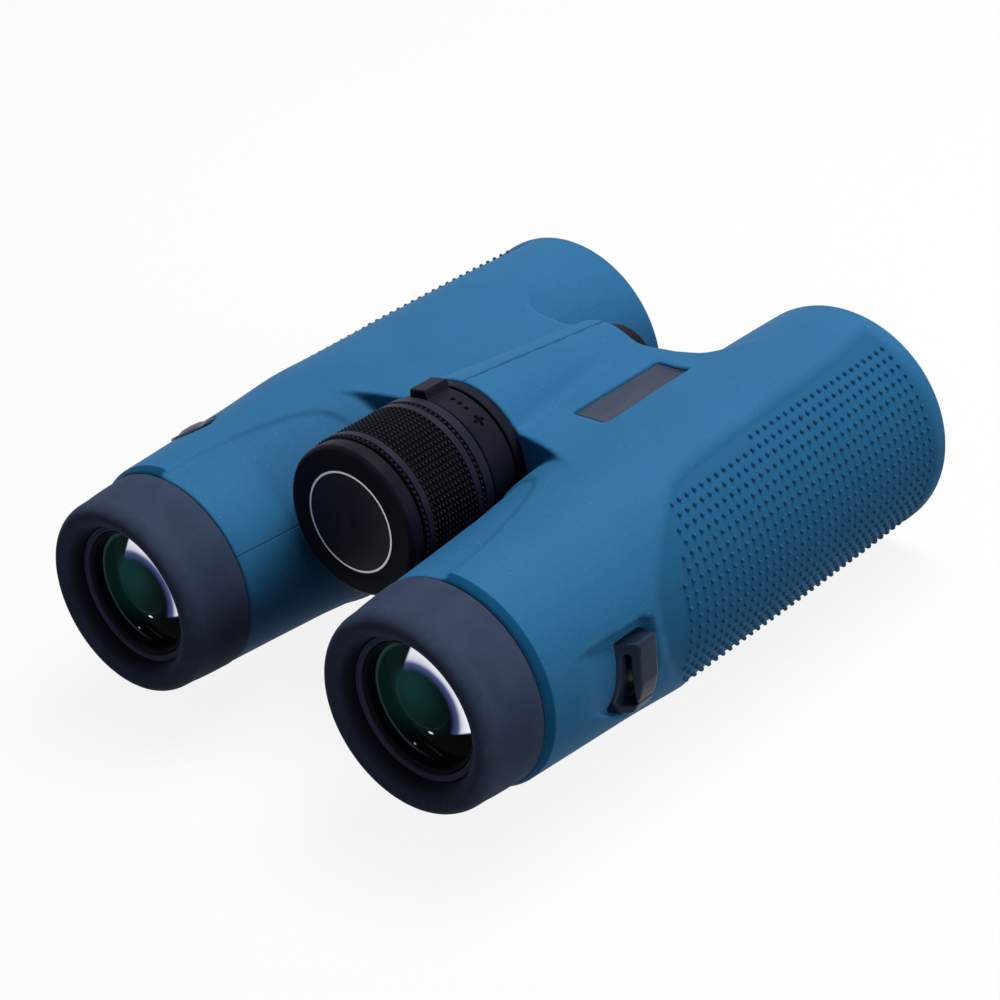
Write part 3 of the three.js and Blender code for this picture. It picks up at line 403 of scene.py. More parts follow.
# Painted shade: the grip dots get a darker copy of the armour rubber, standing for the shading round the
# small domes.
DOTS = black_plastic("grip_rubber_painted_shade", paint(26, 88, 130), 0.4, 3300.0, 0.00002, Specular_IOR_Level=0.1)
ANODISED = black_plastic("anodised", paint(20, 21, 25), 0.4, 5200.0, 0.00001, Metallic=0.3)
CAST = black_plastic("cast_metal", paint(27, 29, 34), 0.55, 1800.0, 0.00006, worn=0.4, Metallic=0.4)
print("black finishes:", [m.name for m in (SOFT, PLASTIC, MARKED, KNURLED, GLOSS, DOTS, ANODISED, CAST)])


# %% Metals, plate and glass
def brushed(name, first, second, stretch, roughness, spread, scratch, **fixed):
    """Metal with fine lines between two colours, drawn by a noise that is stretched along them."""
    made = Finish(name, first, roughness, **fixed)
    lines = made.noise(made.add("ShaderNodeMapping", Vector=made.place()[0], Scale=stretch), 1.0, 2.0)
    colour = made.blend(lines.step(0.3, 0.7), first, second)
    return made.done(colour, roughness + spread * lines, lines, scratch, 0.6)


def metal(name, colour, roughness, scratch=0.00001):
    """Turned metal: its lines are rings round Y."""
    return brushed(name, colour, shaded(colour, 0.72), (60.0, 9000.0, 60.0), roughness, 0.15, scratch,
                   Metallic=1.0)


def glass(name, colour, tint):
    """Coated glass: it lets light through and its reflections take the coating's tint."""
    made = Finish(name, colour, 0.02, IOR=1.52, Transmission_Weight=1.0, Specular_IOR_Level=0.1,
                  Specular_Tint=tint)
    haze = made.noise(made.place()[0], 300.0, 3.0)
    made.feed("Roughness", 0.005 + 0.02 * haze.step(0.55, 0.85))
    return made.material


def eye_glass_finish():
    """Looking into an eyepiece: nearly black glass, and all that is seen in it is painted as a glow
    of its own. A dark green glow stands for the depth on one side; a painted reflection lies
    between a dark stop and the lens's edge, over the upper right, with a violet fringe; thin painted
    arcs stand where the inner lenses sit, and two small painted glints, one with a faint streak, stand
    below the middle. u and v are millimetres from the barrel axis, to the right and up."""
    made = Finish("eye_glass", paint(2, 4, 5), 0.03, IOR=1.5, Specular_IOR_Level=0.006, Emission_Strength=1.0)
    where, x, y, z = made.place()
    side = made.add("ShaderNodeMath", {"operation": "SIGN"}, Value=x)
    u = (x - side * 0.001 * BARREL_X) * 1000.0
    v = (z - 0.001 * SHIFT[2]) * 1000.0

    def off(u_place, v_place):
        """Distance from a place on the lens."""
        return (u - u_place).far(v - v_place)

    edge, stop, disc = u.far(v), off(-0.7, -0.9), off(-0.3, 0.8)
    along = v * 0.755 + u * 0.656
    across = v * 0.656 - u * 0.755
    cloud = made.noise(where, 260.0, 2.0)
    left_end = (u * 0.92 - v * 0.394 + 6.5).step(-0.1, 0.4)
    ends = left_end * (v * 0.922 - u * 0.386 + 6.7).step(0.0, 0.45) * (u + v).step(1.0, 2.5)
    gleam = stop.step(8.5, 9.6) * edge.fall(12.1, 12.4) * ends
    shade = (stop - 8.8).step(-0.2, 2.2) * 0.35 + 0.65 - across.step(1.0, 9.0) * 0.15
    fringe = stop.step(6.8, 8.8) * stop.fall(8.9, 9.9) * ends
    depth = disc.fall(5.6, 7.8) * (off(-2.6, 3.0).fall(0.5, 8.5) * 0.8 + 0.2)
    outer = u.fall(-7.0, 5.0) * v.step(-10.0, -3.0) * edge.fall(12.0, 12.4)
    arcs = (disc - 6.0).size().fall(0.02, 0.35) * along.fall(-6.0, 5.0) * 0.1
    arcs = arcs + edge.step(11.3, 11.8) * edge.fall(12.1, 12.4) * u.fall(-6.0, 1.0) * 0.22
    painted_streak = (v + 9.1 + u * 0.45).size().fall(0.02, 0.16) * u.step(-1.5, 2.2) * edge.fall(10.2, 11.2)
    glint = ((u - 1.05) * 0.6325).far((v + 5.85) * 1.7321).fall(0.18, 0.5)
    pink_painted_glint = off(-3.7, -10.2).fall(0.1, 0.4)
    # All colours below are emission: painted reflections, glints and glow inside the glass.
    made.feed("Emission Color", made.layers(
        (0.0005, 0.0009, 0.0009, 1.0), (outer * 0.8, paint(7, 28, 25)), (depth, paint(12, 46, 46)),
        (arcs + painted_streak * 0.35, paint(58, 92, 96)), (fringe, paint(66, 74, 122)),
        (gleam * shade * (0.85 + 0.25 * cloud), paint(240, 243, 252)), (glint, paint(236, 240, 246)),
        (pink_painted_glint * 0.8, paint(206, 140, 190))))
    made.feed("Roughness", 0.02 + 0.03 * cloud)
    return made.material


STEEL = metal("steel", paint(176, 178, 182), 0.28)
BRASS = metal("brass", paint(196, 158, 88), 0.3)
SILVER = metal("badge_silver", paint(64, 67, 84), 0.32, 0.000006)
PLATE = brushed("plate_grey", paint(46, 54, 72), paint(58, 67, 86), (9000.0, 120.0, 400.0), 0.34, 0.2,
                0.000012, Metallic=0.1, Specular_IOR_Level=0.1)
LENS = glass("lens_glass", paint(150, 188, 172), (0.45, 1.0, 0.8, 1.0))
EYE_GLASS = eye_glass_finish()
PRISM = glass("prism_glass", paint(214, 226, 224), (1.0, 1.0, 1.0, 1.0))
print("metals and glass:", [m.name for m in (STEEL, BRASS, SILVER, PLATE, LENS, EYE_GLASS, PRISM)])

# %% [markdown]
# ## CAD nodes get their finishes
#
# The hidden pieces, such as prisms, cages and hinge pins, keep their CAD mesh. Each gets the
# finish of its kind by assigning its material slot.

# %% Finishes for the carried-over nodes
KINDS = (
    (ARMOUR, "armour"), (SOFT, "eyecup"), (CAST, "housing"), (GLOSS, "strap_lug"), (KNURLED, "focus_grip"),
    (PLATE, "name_plate"), (SILVER, "side_badge"), (PRISM, "roof_prism half_prism"),
    (BRASS, "thrust_washer focus_carriage"),
    (PLASTIC, "eyecup_sleeve eyepiece_tube focus_knob focus_cap rear_collar diopter_ring tripod_cap"),
    (ANODISED, "eyepiece_ring eyepiece_spacer prism_cage focus_cell objective_cell objective_ring"),
    (LENS, "eye_lens field_lens focus_lens objective_flint objective_crown"),
    (STEEL, "focus_spindle focus_arm hinge_bush hinge_shaft hinge_nut"),
)
finish_of = {kind: finish for finish, kinds in KINDS for kind in kinds.split()}
for name, node in nodes.items():
    node.data.materials.clear()
    node.data.materials.append(finish_of[name.removesuffix("_left").removesuffix("_right")])
print(len(nodes), "nodes have a finish")

# %% [markdown]
# ## Shapes from a distance field
#
# The armour is moulded in one piece over a barrel and half of the bridge, with soft fillets
# where they meet. Neither a turned profile nor a single sheet gives such a form. It is
# described instead as a field: a number at every point of space that is negative inside and
# about as large as the distance to the surface. Two forms join with a minimum and cut with a
# maximum, and a rounded minimum or maximum leaves a fillet or a rounded edge. The skin is
# then laid where the field is zero.

# %% Field helpers
def either(a, b, r):
    """Union of two fields with a fillet of radius r in the corner between them."""
    return np.maximum(np.minimum(a, b), r) - np.hypot(np.maximum(r - a, 0), np.maximum(r - b, 0))


def both(a, b, r):
    """Intersection of two fields with an edge rounded to radius r."""
    return np.minimum(np.maximum(a, b), -r) + np.hypot(np.maximum(r + a, 0), np.maximum(r + b, 0))


def without(a, b, r):
    """Field a with b cut out of it and the new edge rounded to radius r."""
    return both(a, -b, r)


def softened(points, reach, low=-20.0, high=170.0):
    """A curve through points whose corners are softened: the straight runs are sampled every
    0.1 mm and averaged over a window that falls off as a cosine within the reach."""
    t = np.arange(low, high, 0.1)
    p = np.asarray(points, float)
    ends = (p[1] - p[0]) / (p[1, 0] - p[0, 0]), (p[-1] - p[-2]) / (p[-1, 0] - p[-2, 0])
    value = np.interp(t, p[:, 0], p[:, 1])
    value = np.where(t < p[0, 0], p[0, 1] + (t - p[0, 0]) * ends[0][1], value)
    value = np.where(t > p[-1, 0], p[-1, 1] + (t - p[-1, 0]) * ends[1][1], value)
    n = max(int(reach / 0.1), 1)
    window = 1 + np.cos(np.linspace(-np.pi, np.pi, 2 * n + 1))
    padded = np.pad(value, n, mode="reflect", reflect_type="odd")
    return t, np.convolve(padded, window / window.sum(), mode="valid")


def at(curve, where):
    return np.interp(where, *curve)


def net(field, axes, pull=2):
    """The skin of a field on a grid that may be uneven. Each cell that the surface passes
    through gets one point, the mean of the crossings on its edges; each grid edge that crosses
    the surface gets a quad of the four points round it. The points then slide along the
    field's slope until the field is zero there."""
    values = field(*np.meshgrid(*axes, indexing="ij"))
    cells = tuple(n - 1 for n in values.shape)
    total, count, quads = np.zeros((np.prod(cells), 3)), np.zeros(np.prod(cells)), []
    for axis in range(3):
        others = [k for k in range(3) if k != axis]
        low = np.take(values, np.arange(values.shape[axis] - 1), axis)
        high = np.take(values, np.arange(1, values.shape[axis]), axis)
        edge = np.argwhere((low < 0) != (high < 0))
        a, b = low[tuple(edge.T)], high[tuple(edge.T)]
        point = np.stack([axes[k][edge[:, k]] for k in range(3)], -1)
        point[:, axis] += a / (a - b) * (axes[axis][edge[:, axis] + 1] - axes[axis][edge[:, axis]])
        around = []
        for step in ((0, 0), (-1, 0), (-1, -1), (0, -1)):
            cell = edge.copy()
            cell[:, others[0]] += step[0]
            cell[:, others[1]] += step[1]
            around.append(np.ravel_multi_index(tuple(cell.T), cells))
            for k in range(3):
                total[:, k] += np.bincount(around[-1], point[:, k], len(count))
            count += np.bincount(around[-1], minlength=len(count))
        quad = np.stack(around, -1)
        turn = (a < 0) != (axis == 1)
        quads.append(np.where(turn[:, None], quad, quad[:, ::-1]))
    used = np.flatnonzero(count)
    number = np.full(len(count), -1)
    number[used] = np.arange(len(used))
    points = total[used] / count[used, None]
    reach = 0.7 * np.min([np.min(np.diff(a)) for a in axes])
    for _ in range(pull):
        here = field(*points.T)
        slope = np.stack([(field(*(points + 0.02 * e).T) - here) / 0.02 for e in np.eye(3)], -1)
        steep = np.maximum((slope ** 2).sum(1), 0.2)
        points = points - np.clip(here / steep, -reach, reach)[:, None] * slope
    return points, number[np.concatenate(quads)]


def outline_distance(corners, u, v):
    """Signed distance of points to a closed outline: positive inside. The nearest point on
    each side is found by projection, and a point is inside if a ray from it crosses an odd
    number of sides."""
    a = np.asarray(corners, float)
    b = np.roll(a, -1, 0)
    best, inside = np.full(u.shape, 1e9), np.zeros(u.shape, bool)
    for (ax, ay), (bx, by) in zip(a, b):
        dx, dy = bx - ax, by - ay
        t = np.clip(((u - ax) * dx + (v - ay) * dy) / (dx * dx + dy * dy), 0, 1)
        best = np.minimum(best, np.hypot(u - ax - t * dx, v - ay - t * dy))
        if dy:
            inside ^= ((ay > v) != (by > v)) & (u < ax + (v - ay) / dy * dx)
    return np.where(inside, best, -best)


print("field helpers ready")

# %% [markdown]
# ### The outside of one half
#
# The raised skin swells from the neck to the grip. On the side towards the wheel it ends at a
# crease, and below the crease lies a scooped surface that clears the wheel. The bridge has a
# flat deck, a hump round the hinge that tapers to the front, and edges that sweep into the
# barrel. The outer side carries a grip panel that lies a little lower, with a soft border.

# %% Curves of the armour
SWELL = softened([[0, 21.5], [13.8, 22.3], [42, 24], [56, 25.3], [90, 25.8], [120.8, 25.9], [133.8, 25.8],
                  [140, 25.65]], 6)
SCOOP = softened([[10.7, 21.1], [22, 21.8], [38, 22.9], [48, 24], [60, 25.2]], 4)
CORE = softened([[10.7, 21.1], [22, 21.8], [38, 22.9], [48, 24], [58, 25.3], [90, 25.7], [133.8, 25.7]], 4)
CREASE_X = softened([[10, 36.4], [19.6, 36.3], [27, 35.1], [35, 33.3], [43, 30.7], [49, 27.0], [60, 19.0]], 3)
REAR_EDGE = softened([[0, 0], [11, -0.1], [17, -0.9], [22, -2.1], [26, -3.5], [30, -5.4], [36, -9],
                      [44, -15]], 1.5)
FRONT_EDGE = softened([[0, 0], [12, 0.2], [18, 1.2], [22.7, 3.1], [25.2, 4.8], [28.5, 8.2], [31, 12.2],
                       [33, 17], [40, 36]], 1.5)
BRIDGE_REAR, BRIDGE_FRONT = 59.4, 104.8
HUMP_REAR_R, HUMP_FRONT_R = 15.85, 11.35
DECK_Z = 24.0
VEE = math.radians(24.0)
LEAF_TOP = softened([[17, 6.9], [20, 7.3], [38.5, 7.4], [41.2, 5.8], [43, 2.0]], 1.0)
LEAF_FOOT = softened([[17, -4.8], [25, -6.4], [31, -11.0], [36, -13.2], [39.5, -13.0], [41.8, -10.6],
                      [43, -7.0]], 1.0)
POCKET = softened([[16, 23.9], [19.5, 22.9], [32.4, 20.8], [39.4, 20.8], [41.6, 25.4], [42.4, 28]], 0.6)

# Rooms round the hinge axis that are open to the rear: radius and front end
WHEEL_ROOM, COLLAR_ROOM, BAND_ROOM = (17.0, 58.5), (14.75, 61.3), (15.7, 59.36)
HINGE_BORE_R, HINGE_BORE = 9.8, (58.5, 111.3)
RIM_BORE_R, NECK_BORE_R = 22.9, 18.6
SKIN, BRIDGE_SKIN, POCKET_SKIN = 1.6, 1.5, 0.8    # thickness of the rubber
HALF_GAP = 0.15                                   # from a half to the middle plane
PLATE_X, PLATE_Y, PLATE_WIDE, PLATE_LONG = 21.7, 85.8, 4.0, 13.5    # middle and half sizes
BADGE_TILT, BADGE_Y, BADGE_R = math.radians(31), 31.0, 4.95

# The border of the grip panel in (station, degrees from the top of the barrel, outwards)
PANEL = [(136.2, 14), (134, 14.5), (120, 18.6), (107, 20.4), (91, 21), (80, 22), (72, 22.8), (65.6, 23.8),
         (61, 26), (58.2, 29.3), (52.6, 38.3), (48.1, 47.2), (44, 57.4), (40.8, 69.5), (40, 84),
         (42.3, 103.9), (46.5, 119), (52.5, 133), (60, 146), (70, 152), (136.2, 152)]
PANEL_DEPTH, PANEL_RAMP, PANEL_R = 0.68, 3.0, 25.3
FIRST_DOT = [[31, 37, 49, 60, 71, 76, 108, 120, 130, 146],
             [60, 57, 54.4, 52.1, 49.8, 49.4, 49.4, 50.9, 52.6, 57.4]]
panel_y = np.arange(30, 142, 0.5)
panel_s = np.arange(0, 182, 1.0) * math.pi / 180 * PANEL_R
panel_table = outline_distance([(y, math.radians(a) * PANEL_R) for y, a in PANEL],
                               *np.meshgrid(panel_y, panel_s, indexing="ij"))


def panel_distance(x, y, z):
    """How far a point lies inside the border of the grip panel, measured on the barrel: read from
    the table between its four nearest entries."""
    s = np.where(x > BARREL_X, np.abs(np.arctan2(x - BARREL_X, z)) * PANEL_R, 0.0)
    i = np.clip((y - panel_y[0]) / 0.5, 0, len(panel_y) - 1.001)
    j = np.clip(s / (panel_s[1] - panel_s[0]), 0, len(panel_s) - 1.001)
    i0, j0 = i.astype(int), j.astype(int)
    u, v, t = i - i0, j - j0, panel_table
    near = (1 - u) * ((1 - v) * t[i0, j0] + v * t[i0, j0 + 1])
    return near + u * ((1 - v) * t[i0 + 1, j0] + v * t[i0 + 1, j0 + 1])


def panel_slope(x, y, z):
    """0 outside the grip panel, rising ever faster over the ramp to 1 on its floor."""
    return np.clip(panel_distance(x, y, z) / PANEL_RAMP, 0, 1) ** 2


def rise(distance, reach):
    """A smooth step from 0 to 1 over a reach."""
    t = np.clip(distance / reach, 0, 1)
    return t * t * (3 - 2 * t)


def swept(edge, x, distance):
    """Distance to an edge of the bridge, measured square to it where it sweeps away with x."""
    return distance / np.hypot(1, at(edge, x + 0.5) - at(edge, x - 0.5))


def bridge_field(x, y, z, inset):
    """Deck and hump on top, the hinge's round floor and the vee below, swept edges at the ends."""
    along = np.clip((y - BRIDGE_REAR) / (BRIDGE_FRONT - BRIDGE_REAR), -0.3, 1.4)
    off_hinge = np.hypot(x, z - HINGE_Z)
    hump = off_hinge - (HUMP_REAR_R + (HUMP_FRONT_R - HUMP_REAR_R) * along)
    top = either(hump, z - DECK_Z, 1.5)
    slope = -(x - 5.7) * 0.855 - (z - 2.86) * 0.52
    under = np.maximum(either(slope, off_hinge - 14.0, 1.5), (x - 12.3) * 0.308 - (z + 8) * 0.951)
    section = both(both(top, under, 0.8), x - BARREL_X, 0.5) + inset
    back = swept(REAR_EDGE, x, BRIDGE_REAR + inset + at(REAR_EDGE, x) - y)
    fore = swept(FRONT_EDGE, x, y - BRIDGE_FRONT + inset - at(FRONT_EDGE, x))
    return both(both(section, back, 0.4), fore, 0.9)


def room_field(room, x, y, z, inset):
    """Room round the hinge axis for the wheel, for the collar or for its wide front band."""
    return np.maximum(np.hypot(x, z - HINGE_Z) - room[0] - inset, y - room[1] - inset)


def trough_field(x, y, z, inset):
    """Room for the wheel, and in front of it a narrower room for the collar."""
    return np.minimum(room_field(WHEEL_ROOM, x, y, z, inset), room_field(COLLAR_ROOM, x, y, z, inset))


def pocket_field(x, y, z, skin):
    """The leaf-shaped hollow in which the strap lug stands."""
    floor = (at(POCKET, y - 1.3 * skin) - skin - np.hypot(x - BARREL_X, z)) * 0.93
    leaf = np.maximum(z - at(LEAF_TOP, y), at(LEAF_FOOT, y) - z) * 0.85 - skin
    return np.maximum(np.maximum(both(floor, leaf, 0.6), BARREL_X + 8 - x),
                      np.maximum(16.0 - y, y - 43 - skin))


def outside_field(x, y, z):
    """The barrel with its bevel, crease and grip panel, joined to the bridge, with its rooms cut out."""
    off_axis = np.hypot(x - BARREL_X, z)
    raised = np.minimum(at(SWELL, y), BEVEL_R + (y - REAR) * BEVEL_SLOPE)
    inner = np.minimum(at(SCOOP, y), raised)
    crease = either(at(CREASE_X, y) - x, 49.6 - y, 3.5)
    radius = inner + (raised - inner) * np.clip((0.7 - crease) / 1.2, 0, 1) ** 1.3
    radius = radius - PANEL_DEPTH * panel_slope(x, y, z)
    barrel = both(both(off_axis - radius, y - FRONT, 1.5), REAR - y, 0.25)
    form = either(barrel, bridge_field(x, y, z, 0.0), 0.9 + 1.5 * rise(y - 62.0, 30.0))
    form = without(form, trough_field(x, y, z, 0.0), 0.5)
    form = without(form, room_field(BAND_ROOM, x, y, z, 0.0), 0.1)
    return without(form, pocket_field(x, y, z, 0.0), 0.4)


def inside_field(x, y, z):
    """What the hard parts fill: the same form without the raised skin, a skin's thickness deeper."""
    barrel = np.maximum(np.hypot(x - BARREL_X, z) - at(CORE, y) + SKIN, y - FRONT + SKIN)
    form = np.minimum(barrel, bridge_field(x, y, z, BRIDGE_SKIN))
    form = np.maximum(form, -trough_field(x, y, z, BRIDGE_SKIN))
    form = np.maximum(form, -room_field(BAND_ROOM, x, y, z, BRIDGE_SKIN))
    return np.maximum(form, -pocket_field(x, y, z, POCKET_SKIN))


def half_field(x, y, z):
    """The rubber of one half: outside less inside, bored at both ends and at the hinge, and
    cut off at the middle plane and at the vee under the hinge."""
    off_axis, off_hinge = np.hypot(x - BARREL_X, z), np.hypot(x, z - HINGE_Z)
    form = np.maximum(outside_field(x, y, z), -inside_field(x, y, z))
    form = without(form, np.maximum(off_axis - RIM_BORE_R, FRONT - 5 - y), 0.35)
    form = np.maximum(form, -np.maximum(off_axis - NECK_BORE_R, y - REAR - 2))
    bore = np.maximum(np.maximum(off_hinge - HINGE_BORE_R, HINGE_BORE[0] - y), y - HINGE_BORE[1])
    form = both(without(form, bore, 0.3), HALF_GAP - x, 0.2)
    vee = -(x - HALF_GAP) * math.cos(VEE) - (z - HINGE_Z) * math.sin(VEE)
    return both(form, vee, 0.2)


def with_plate_seat(x, y, z):
    """The right half with a sunk place for the name plate in its deck, 0.3 mm wider all round."""
    sides = np.maximum(np.abs(x - PLATE_X) - PLATE_WIDE - 0.3, np.abs(y - PLATE_Y) - PLATE_LONG - 0.3)
    return without(half_field(x, y, z), np.maximum(sides, DECK_Z - 1.3 - z), 0.15)


def with_badge_seat(x, y, z):
    """The left half, drawn on the right, with a round seat for the badge, 0.25 mm wider all round."""
    along = (x - BARREL_X) * math.sin(BADGE_TILT) + z * math.cos(BADGE_TILT)
    across = (x - BARREL_X) * math.cos(BADGE_TILT) - z * math.sin(BADGE_TILT)
    disc = np.maximum(np.hypot(across, y - BADGE_Y) - BADGE_R - 0.25, 22.6 - along)
    return without(half_field(x, y, z), disc, 0.15)


# %% Lay the armour's skin
def spaced(*runs):
    """Grid positions from runs of (from, to, step)."""
    return np.unique(np.concatenate([
        np.linspace(a, b, max(int(round((b - a) / step)), 1) + 1) for a, b, step in runs]))


fine = 0.62
half_axes = (spaced((-1.0, 20.0, fine), (20.0, 44.0, 1.15 * fine), (44.0, 64.0, fine)),
             spaced((9.4, 14.2, 0.5 * fine), (14.2, 62, 1.27 * fine), (62, 98, 2.1 * fine),
                    (98, 126, 1.35 * fine), (126, 132.6, 1.8 * fine), (132.6, 140, 0.8 * fine)),
             spaced((-26.9, 33.0, fine)))
for (side, sign), field in zip(SIDES, (with_plate_seat, with_badge_seat)):
    points, quads = net(field, half_axes)
    points[:, 0] = np.maximum(points[:, 0], HALF_GAP)
    skin = put_mesh(f"armour_skin_{side}", *mirrored(points, quads, sign), ARMOUR, f"{side}_barrel",
                    "armour_rubber", [f"armour_{side}"])
    # The panel depth kept on the skin lets the armour finish paint the sunk panel darker as shade.
    depth = panel_slope(*points.T).astype(np.float32)
    skin.data.attributes.new("panel", "FLOAT", "POINT").data.foreach_set("value", depth)

# %% [markdown]
# ### Grip dots
#
# Small domes stand on the grip panel in a square pattern: rows along the barrel 5.52 degrees
# apart, and a dome every 2.35 mm in a row. A table gives the station of the first dome at each
# angle. One cap of three rings is turned and carried to every place as one array.

# %% Grip dots
DOT_PITCH, DOT_TURN, DOT_MARGIN = 2.345, 5.52, 2.1
DOT_HEIGHT, DOT_R, DOT_RINGS, DOT_SIDES = 0.66, 0.5, 3, 8
row_angle = 31.93 + DOT_TURN * np.arange(23)
station = 135.2 - DOT_PITCH * np.arange(41)
station, row_angle = [g.ravel() for g in np.meshgrid(station, np.radians(row_angle))]
out, up = np.sin(row_angle), np.cos(row_angle)
on_panel = panel_distance(BARREL_X + PANEL_R * out, station, PANEL_R * up) > DOT_MARGIN
on_panel &= (row_angle > math.radians(34)) | (station > 84)
on_panel &= station > np.interp(np.degrees(row_angle), *FIRST_DOT)
station, out, up = station[on_panel], out[on_panel], up[on_panel]
print(len(station), "dots on each side")


def dome(height, foot, rings, around):
    """A cap: ring k has radius foot * cos(t) to the power 0.8 and height * sin(t), with t from 0
    to a right angle, and a foot ring sunk a little into the rubber. Its triangles are the quads
    between rings cut in two, and a fan that closes the top."""
    t = np.linspace(0, 0.5 * np.pi, rings + 1)[:-1]
    radius = np.r_[foot * 1.05, foot * np.cos(t) ** 0.8]
    level = np.repeat(np.r_[-0.25, height * np.sin(t)], around).reshape(-1, around)
    a = np.linspace(0, 2 * np.pi, around, endpoint=False)
    ring = np.stack([np.outer(radius, np.cos(a)), np.outer(radius, np.sin(a)), level], -1).reshape(-1, 3)
    body, j, top = grid_quads(rings + 1, around), np.arange(around), rings * around
    fan = np.stack([top + j, top + (j + 1) % around, np.full(around, top + around)], -1)
    return np.vstack([ring, [[0, 0, height]]]), np.vstack([body[:, [0, 1, 2]], body[:, [0, 2, 3]], fan])


cap, cap_faces = dome(DOT_HEIGHT, DOT_R, DOT_RINGS, DOT_SIDES)
zero = np.zeros_like(out)
normal, tangent = np.stack([out, zero, up], -1), np.stack([up, zero, -out], -1)
surface_r = at(SWELL, station) - PANEL_DEPTH
centre = np.stack([BARREL_X + surface_r * out, station, surface_r * up], -1)
caps = (centre[:, None] + cap[:, :1] * tangent[:, None] - cap[:, 1:2] * [0.0, 1.0, 0.0]
        + cap[:, 2:] * normal[:, None])
offsets = np.arange(len(station)) * len(cap)
dot_faces = (cap_faces + offsets[:, None, None]).reshape(-1, 3)
for side, sign in SIDES:
    put_mesh(f"grip_dots_{side}", *mirrored(caps.reshape(-1, 3), dot_faces, sign), DOTS, f"{side}_barrel",
             "armour_rubber")

# %% [markdown]
# ## Eyecups and eyepieces
#
# An eyecup is a ring of soft rubber whose rim rolls inwards in one bead, down to a narrow
# groove. Inside it sits the eyepiece tube with a thin front ring, then the eye lens. All are turned
# pieces, so each is a profile carried round the barrel axis.

# %% Eyecups, tubes, rings and lenses
def roll(centre, deep, wide, start, end, steps):
    """Points on an ellipse: station = centre - deep * sin t, radius = centre + wide * cos t, t in degrees."""
    t = np.radians(np.linspace(start, end, steps))
    return np.stack([centre[0] - deep * np.sin(t), centre[1] + wide * np.cos(t)], -1)


def lens_profile(rear, front, radius, rear_bulge, front_bulge, steps=24):
    """Two shallow curves, station = edge + bulge * (1 - (r / radius) squared), and a ground edge."""
    r = np.linspace(0, 1, steps)
    back = np.stack([rear + rear_bulge * (1 - r ** 2), radius * r], -1)
    fore = np.stack([front + front_bulge * (1 - r ** 2), radius * r], -1)[::-1]
    return np.vstack([back, fore])


def grooves(front, rear, radius, depth, count):
    """A zigzag along the axis: every second point lies deeper, by the depth."""
    return np.stack([np.linspace(front, rear, count), radius + depth * (np.arange(count) % 2)], -1)


eyecup_profile = np.vstack([
    rounded([[10.8, 17.4], [10.8, 21.25], [8.0, 21.15]], 0.35)[4:8],
    [[7.0, 21.05], [4.0, 20.8], [2.0, 20.55]],
    roll((0.0, 18.0), 3.5, 2.42, 4, 88, 20),
    roll((0.1, 18.0), 3.6, 3.05, 91, 178, 24),
    [[1.2, 14.98], [1.9, 14.88], [1.2, 14.78], [0.55, 14.74], [0.38, 14.6], [0.34, 13.75], [0.5, 13.58],
     [2.2, 13.42], [2.2, 17.2]],
])
tube_profile = [[1.2, 12.9], [1.2, 13.3], [13.8, 13.3], [13.8, 17.3], [17.5, 17.3], [17.5, 15.5],
                [24.2, 15.5], [24.2, 9.5], [22.5, 9.5], [22.5, 12.55], [1.9, 12.55], [1.9, 12.9]]
ring_profile = [[0.95, 12.88], [0.8, 13.0], [0.95, 13.36], [1.2, 13.36], [1.2, 12.9], [1.9, 12.88],
                [3.1, 12.5], [2.9, 12.4], [1.3, 12.6]]
baffle_profile = np.vstack([[[7.1, 11.6], [16.4, 11.6], [16.4, 10.4]], grooves(16.2, 7.1, 10.45, 0.25, 38)])
guide_profile = [[2.5, 13.4], [2.5, 17.0], [10.4, 17.0], [10.4, 13.4]]
eye_profile = lens_profile(3.2, 6.6, 12.5, -0.9, 1.2)
field_profile = lens_profile(17.4, 21.2, 11.6, -0.6, 1.0)
POLISHED = dict(radius=0, sharp=50)
on_barrels((
    ("eyecup_rubber", eyecup_profile, SOFT, "eyecup", "soft_rubber", "eyecup", dict(segments=160, radius=0)),
    ("eyepiece_barrel", tube_profile, PLASTIC, "barrel", "black_plastic", "eyepiece_tube", dict(radius=0.25)),
    ("eyepiece_front_ring", ring_profile, PLASTIC, "barrel", "anodised", "eyepiece_ring", dict(radius=0.05)),
    ("eye_glass", eye_profile, EYE_GLASS, "barrel", "lens_glass", "eye_lens", POLISHED),
    ("field_glass", field_profile, LENS, "barrel", "lens_glass", "field_lens", POLISHED),
    ("eyepiece_baffle", baffle_profile, ANODISED, "barrel", "anodised", "eyepiece_spacer",
     dict(radius=0, sharp=20)),
    ("eyecup_guide", guide_profile, PLASTIC, "sleeve", "black_plastic", "eyecup_sleeve", dict(radius=0.3)),
))

# %% [markdown]
# ## Objectives
#
# Seen from the front, the rubber rim frames the objective cell: a blackened tube with fine
# grooves that swallow stray light, a retaining ring, and the coated front lens.

# %% Objective cells, rings and lenses
cell_profile = np.vstack([[[112, 19.5], [112, 22.5], [129.9, 22.5], [130.0, 22.3]],
                          grooves(129.6, 114.4, 21.78, 0.16, 62), [[114, 21.75], [114, 19.5]]])
retainer_profile = [[124.3, 21.0], [124.3, 21.45], [126.6, 21.45], [126.6, 21.2], [126.2, 21.0]]
crown = lens_profile(120.2, 124.0, 21.45, -1.2, 2.4, 30)
flint = lens_profile(115.2, 119.8, 21.45, -0.6, -1.6, 30)
polished = dict(POLISHED, segments=160)
on_barrels((
    ("objective_tube", cell_profile, ANODISED, "barrel", "anodised", "objective_cell",
     dict(radius=0, sharp=25, segments=160)),
    ("objective_front", crown, LENS, "barrel", "lens_glass", "objective_crown", polished),
    ("objective_back", flint, LENS, "barrel", "lens_glass", "objective_flint", polished),
    ("objective_retainer", retainer_profile, ANODISED, "barrel", "anodised", "objective_ring",
     dict(radius=0.08, segments=160)),
))

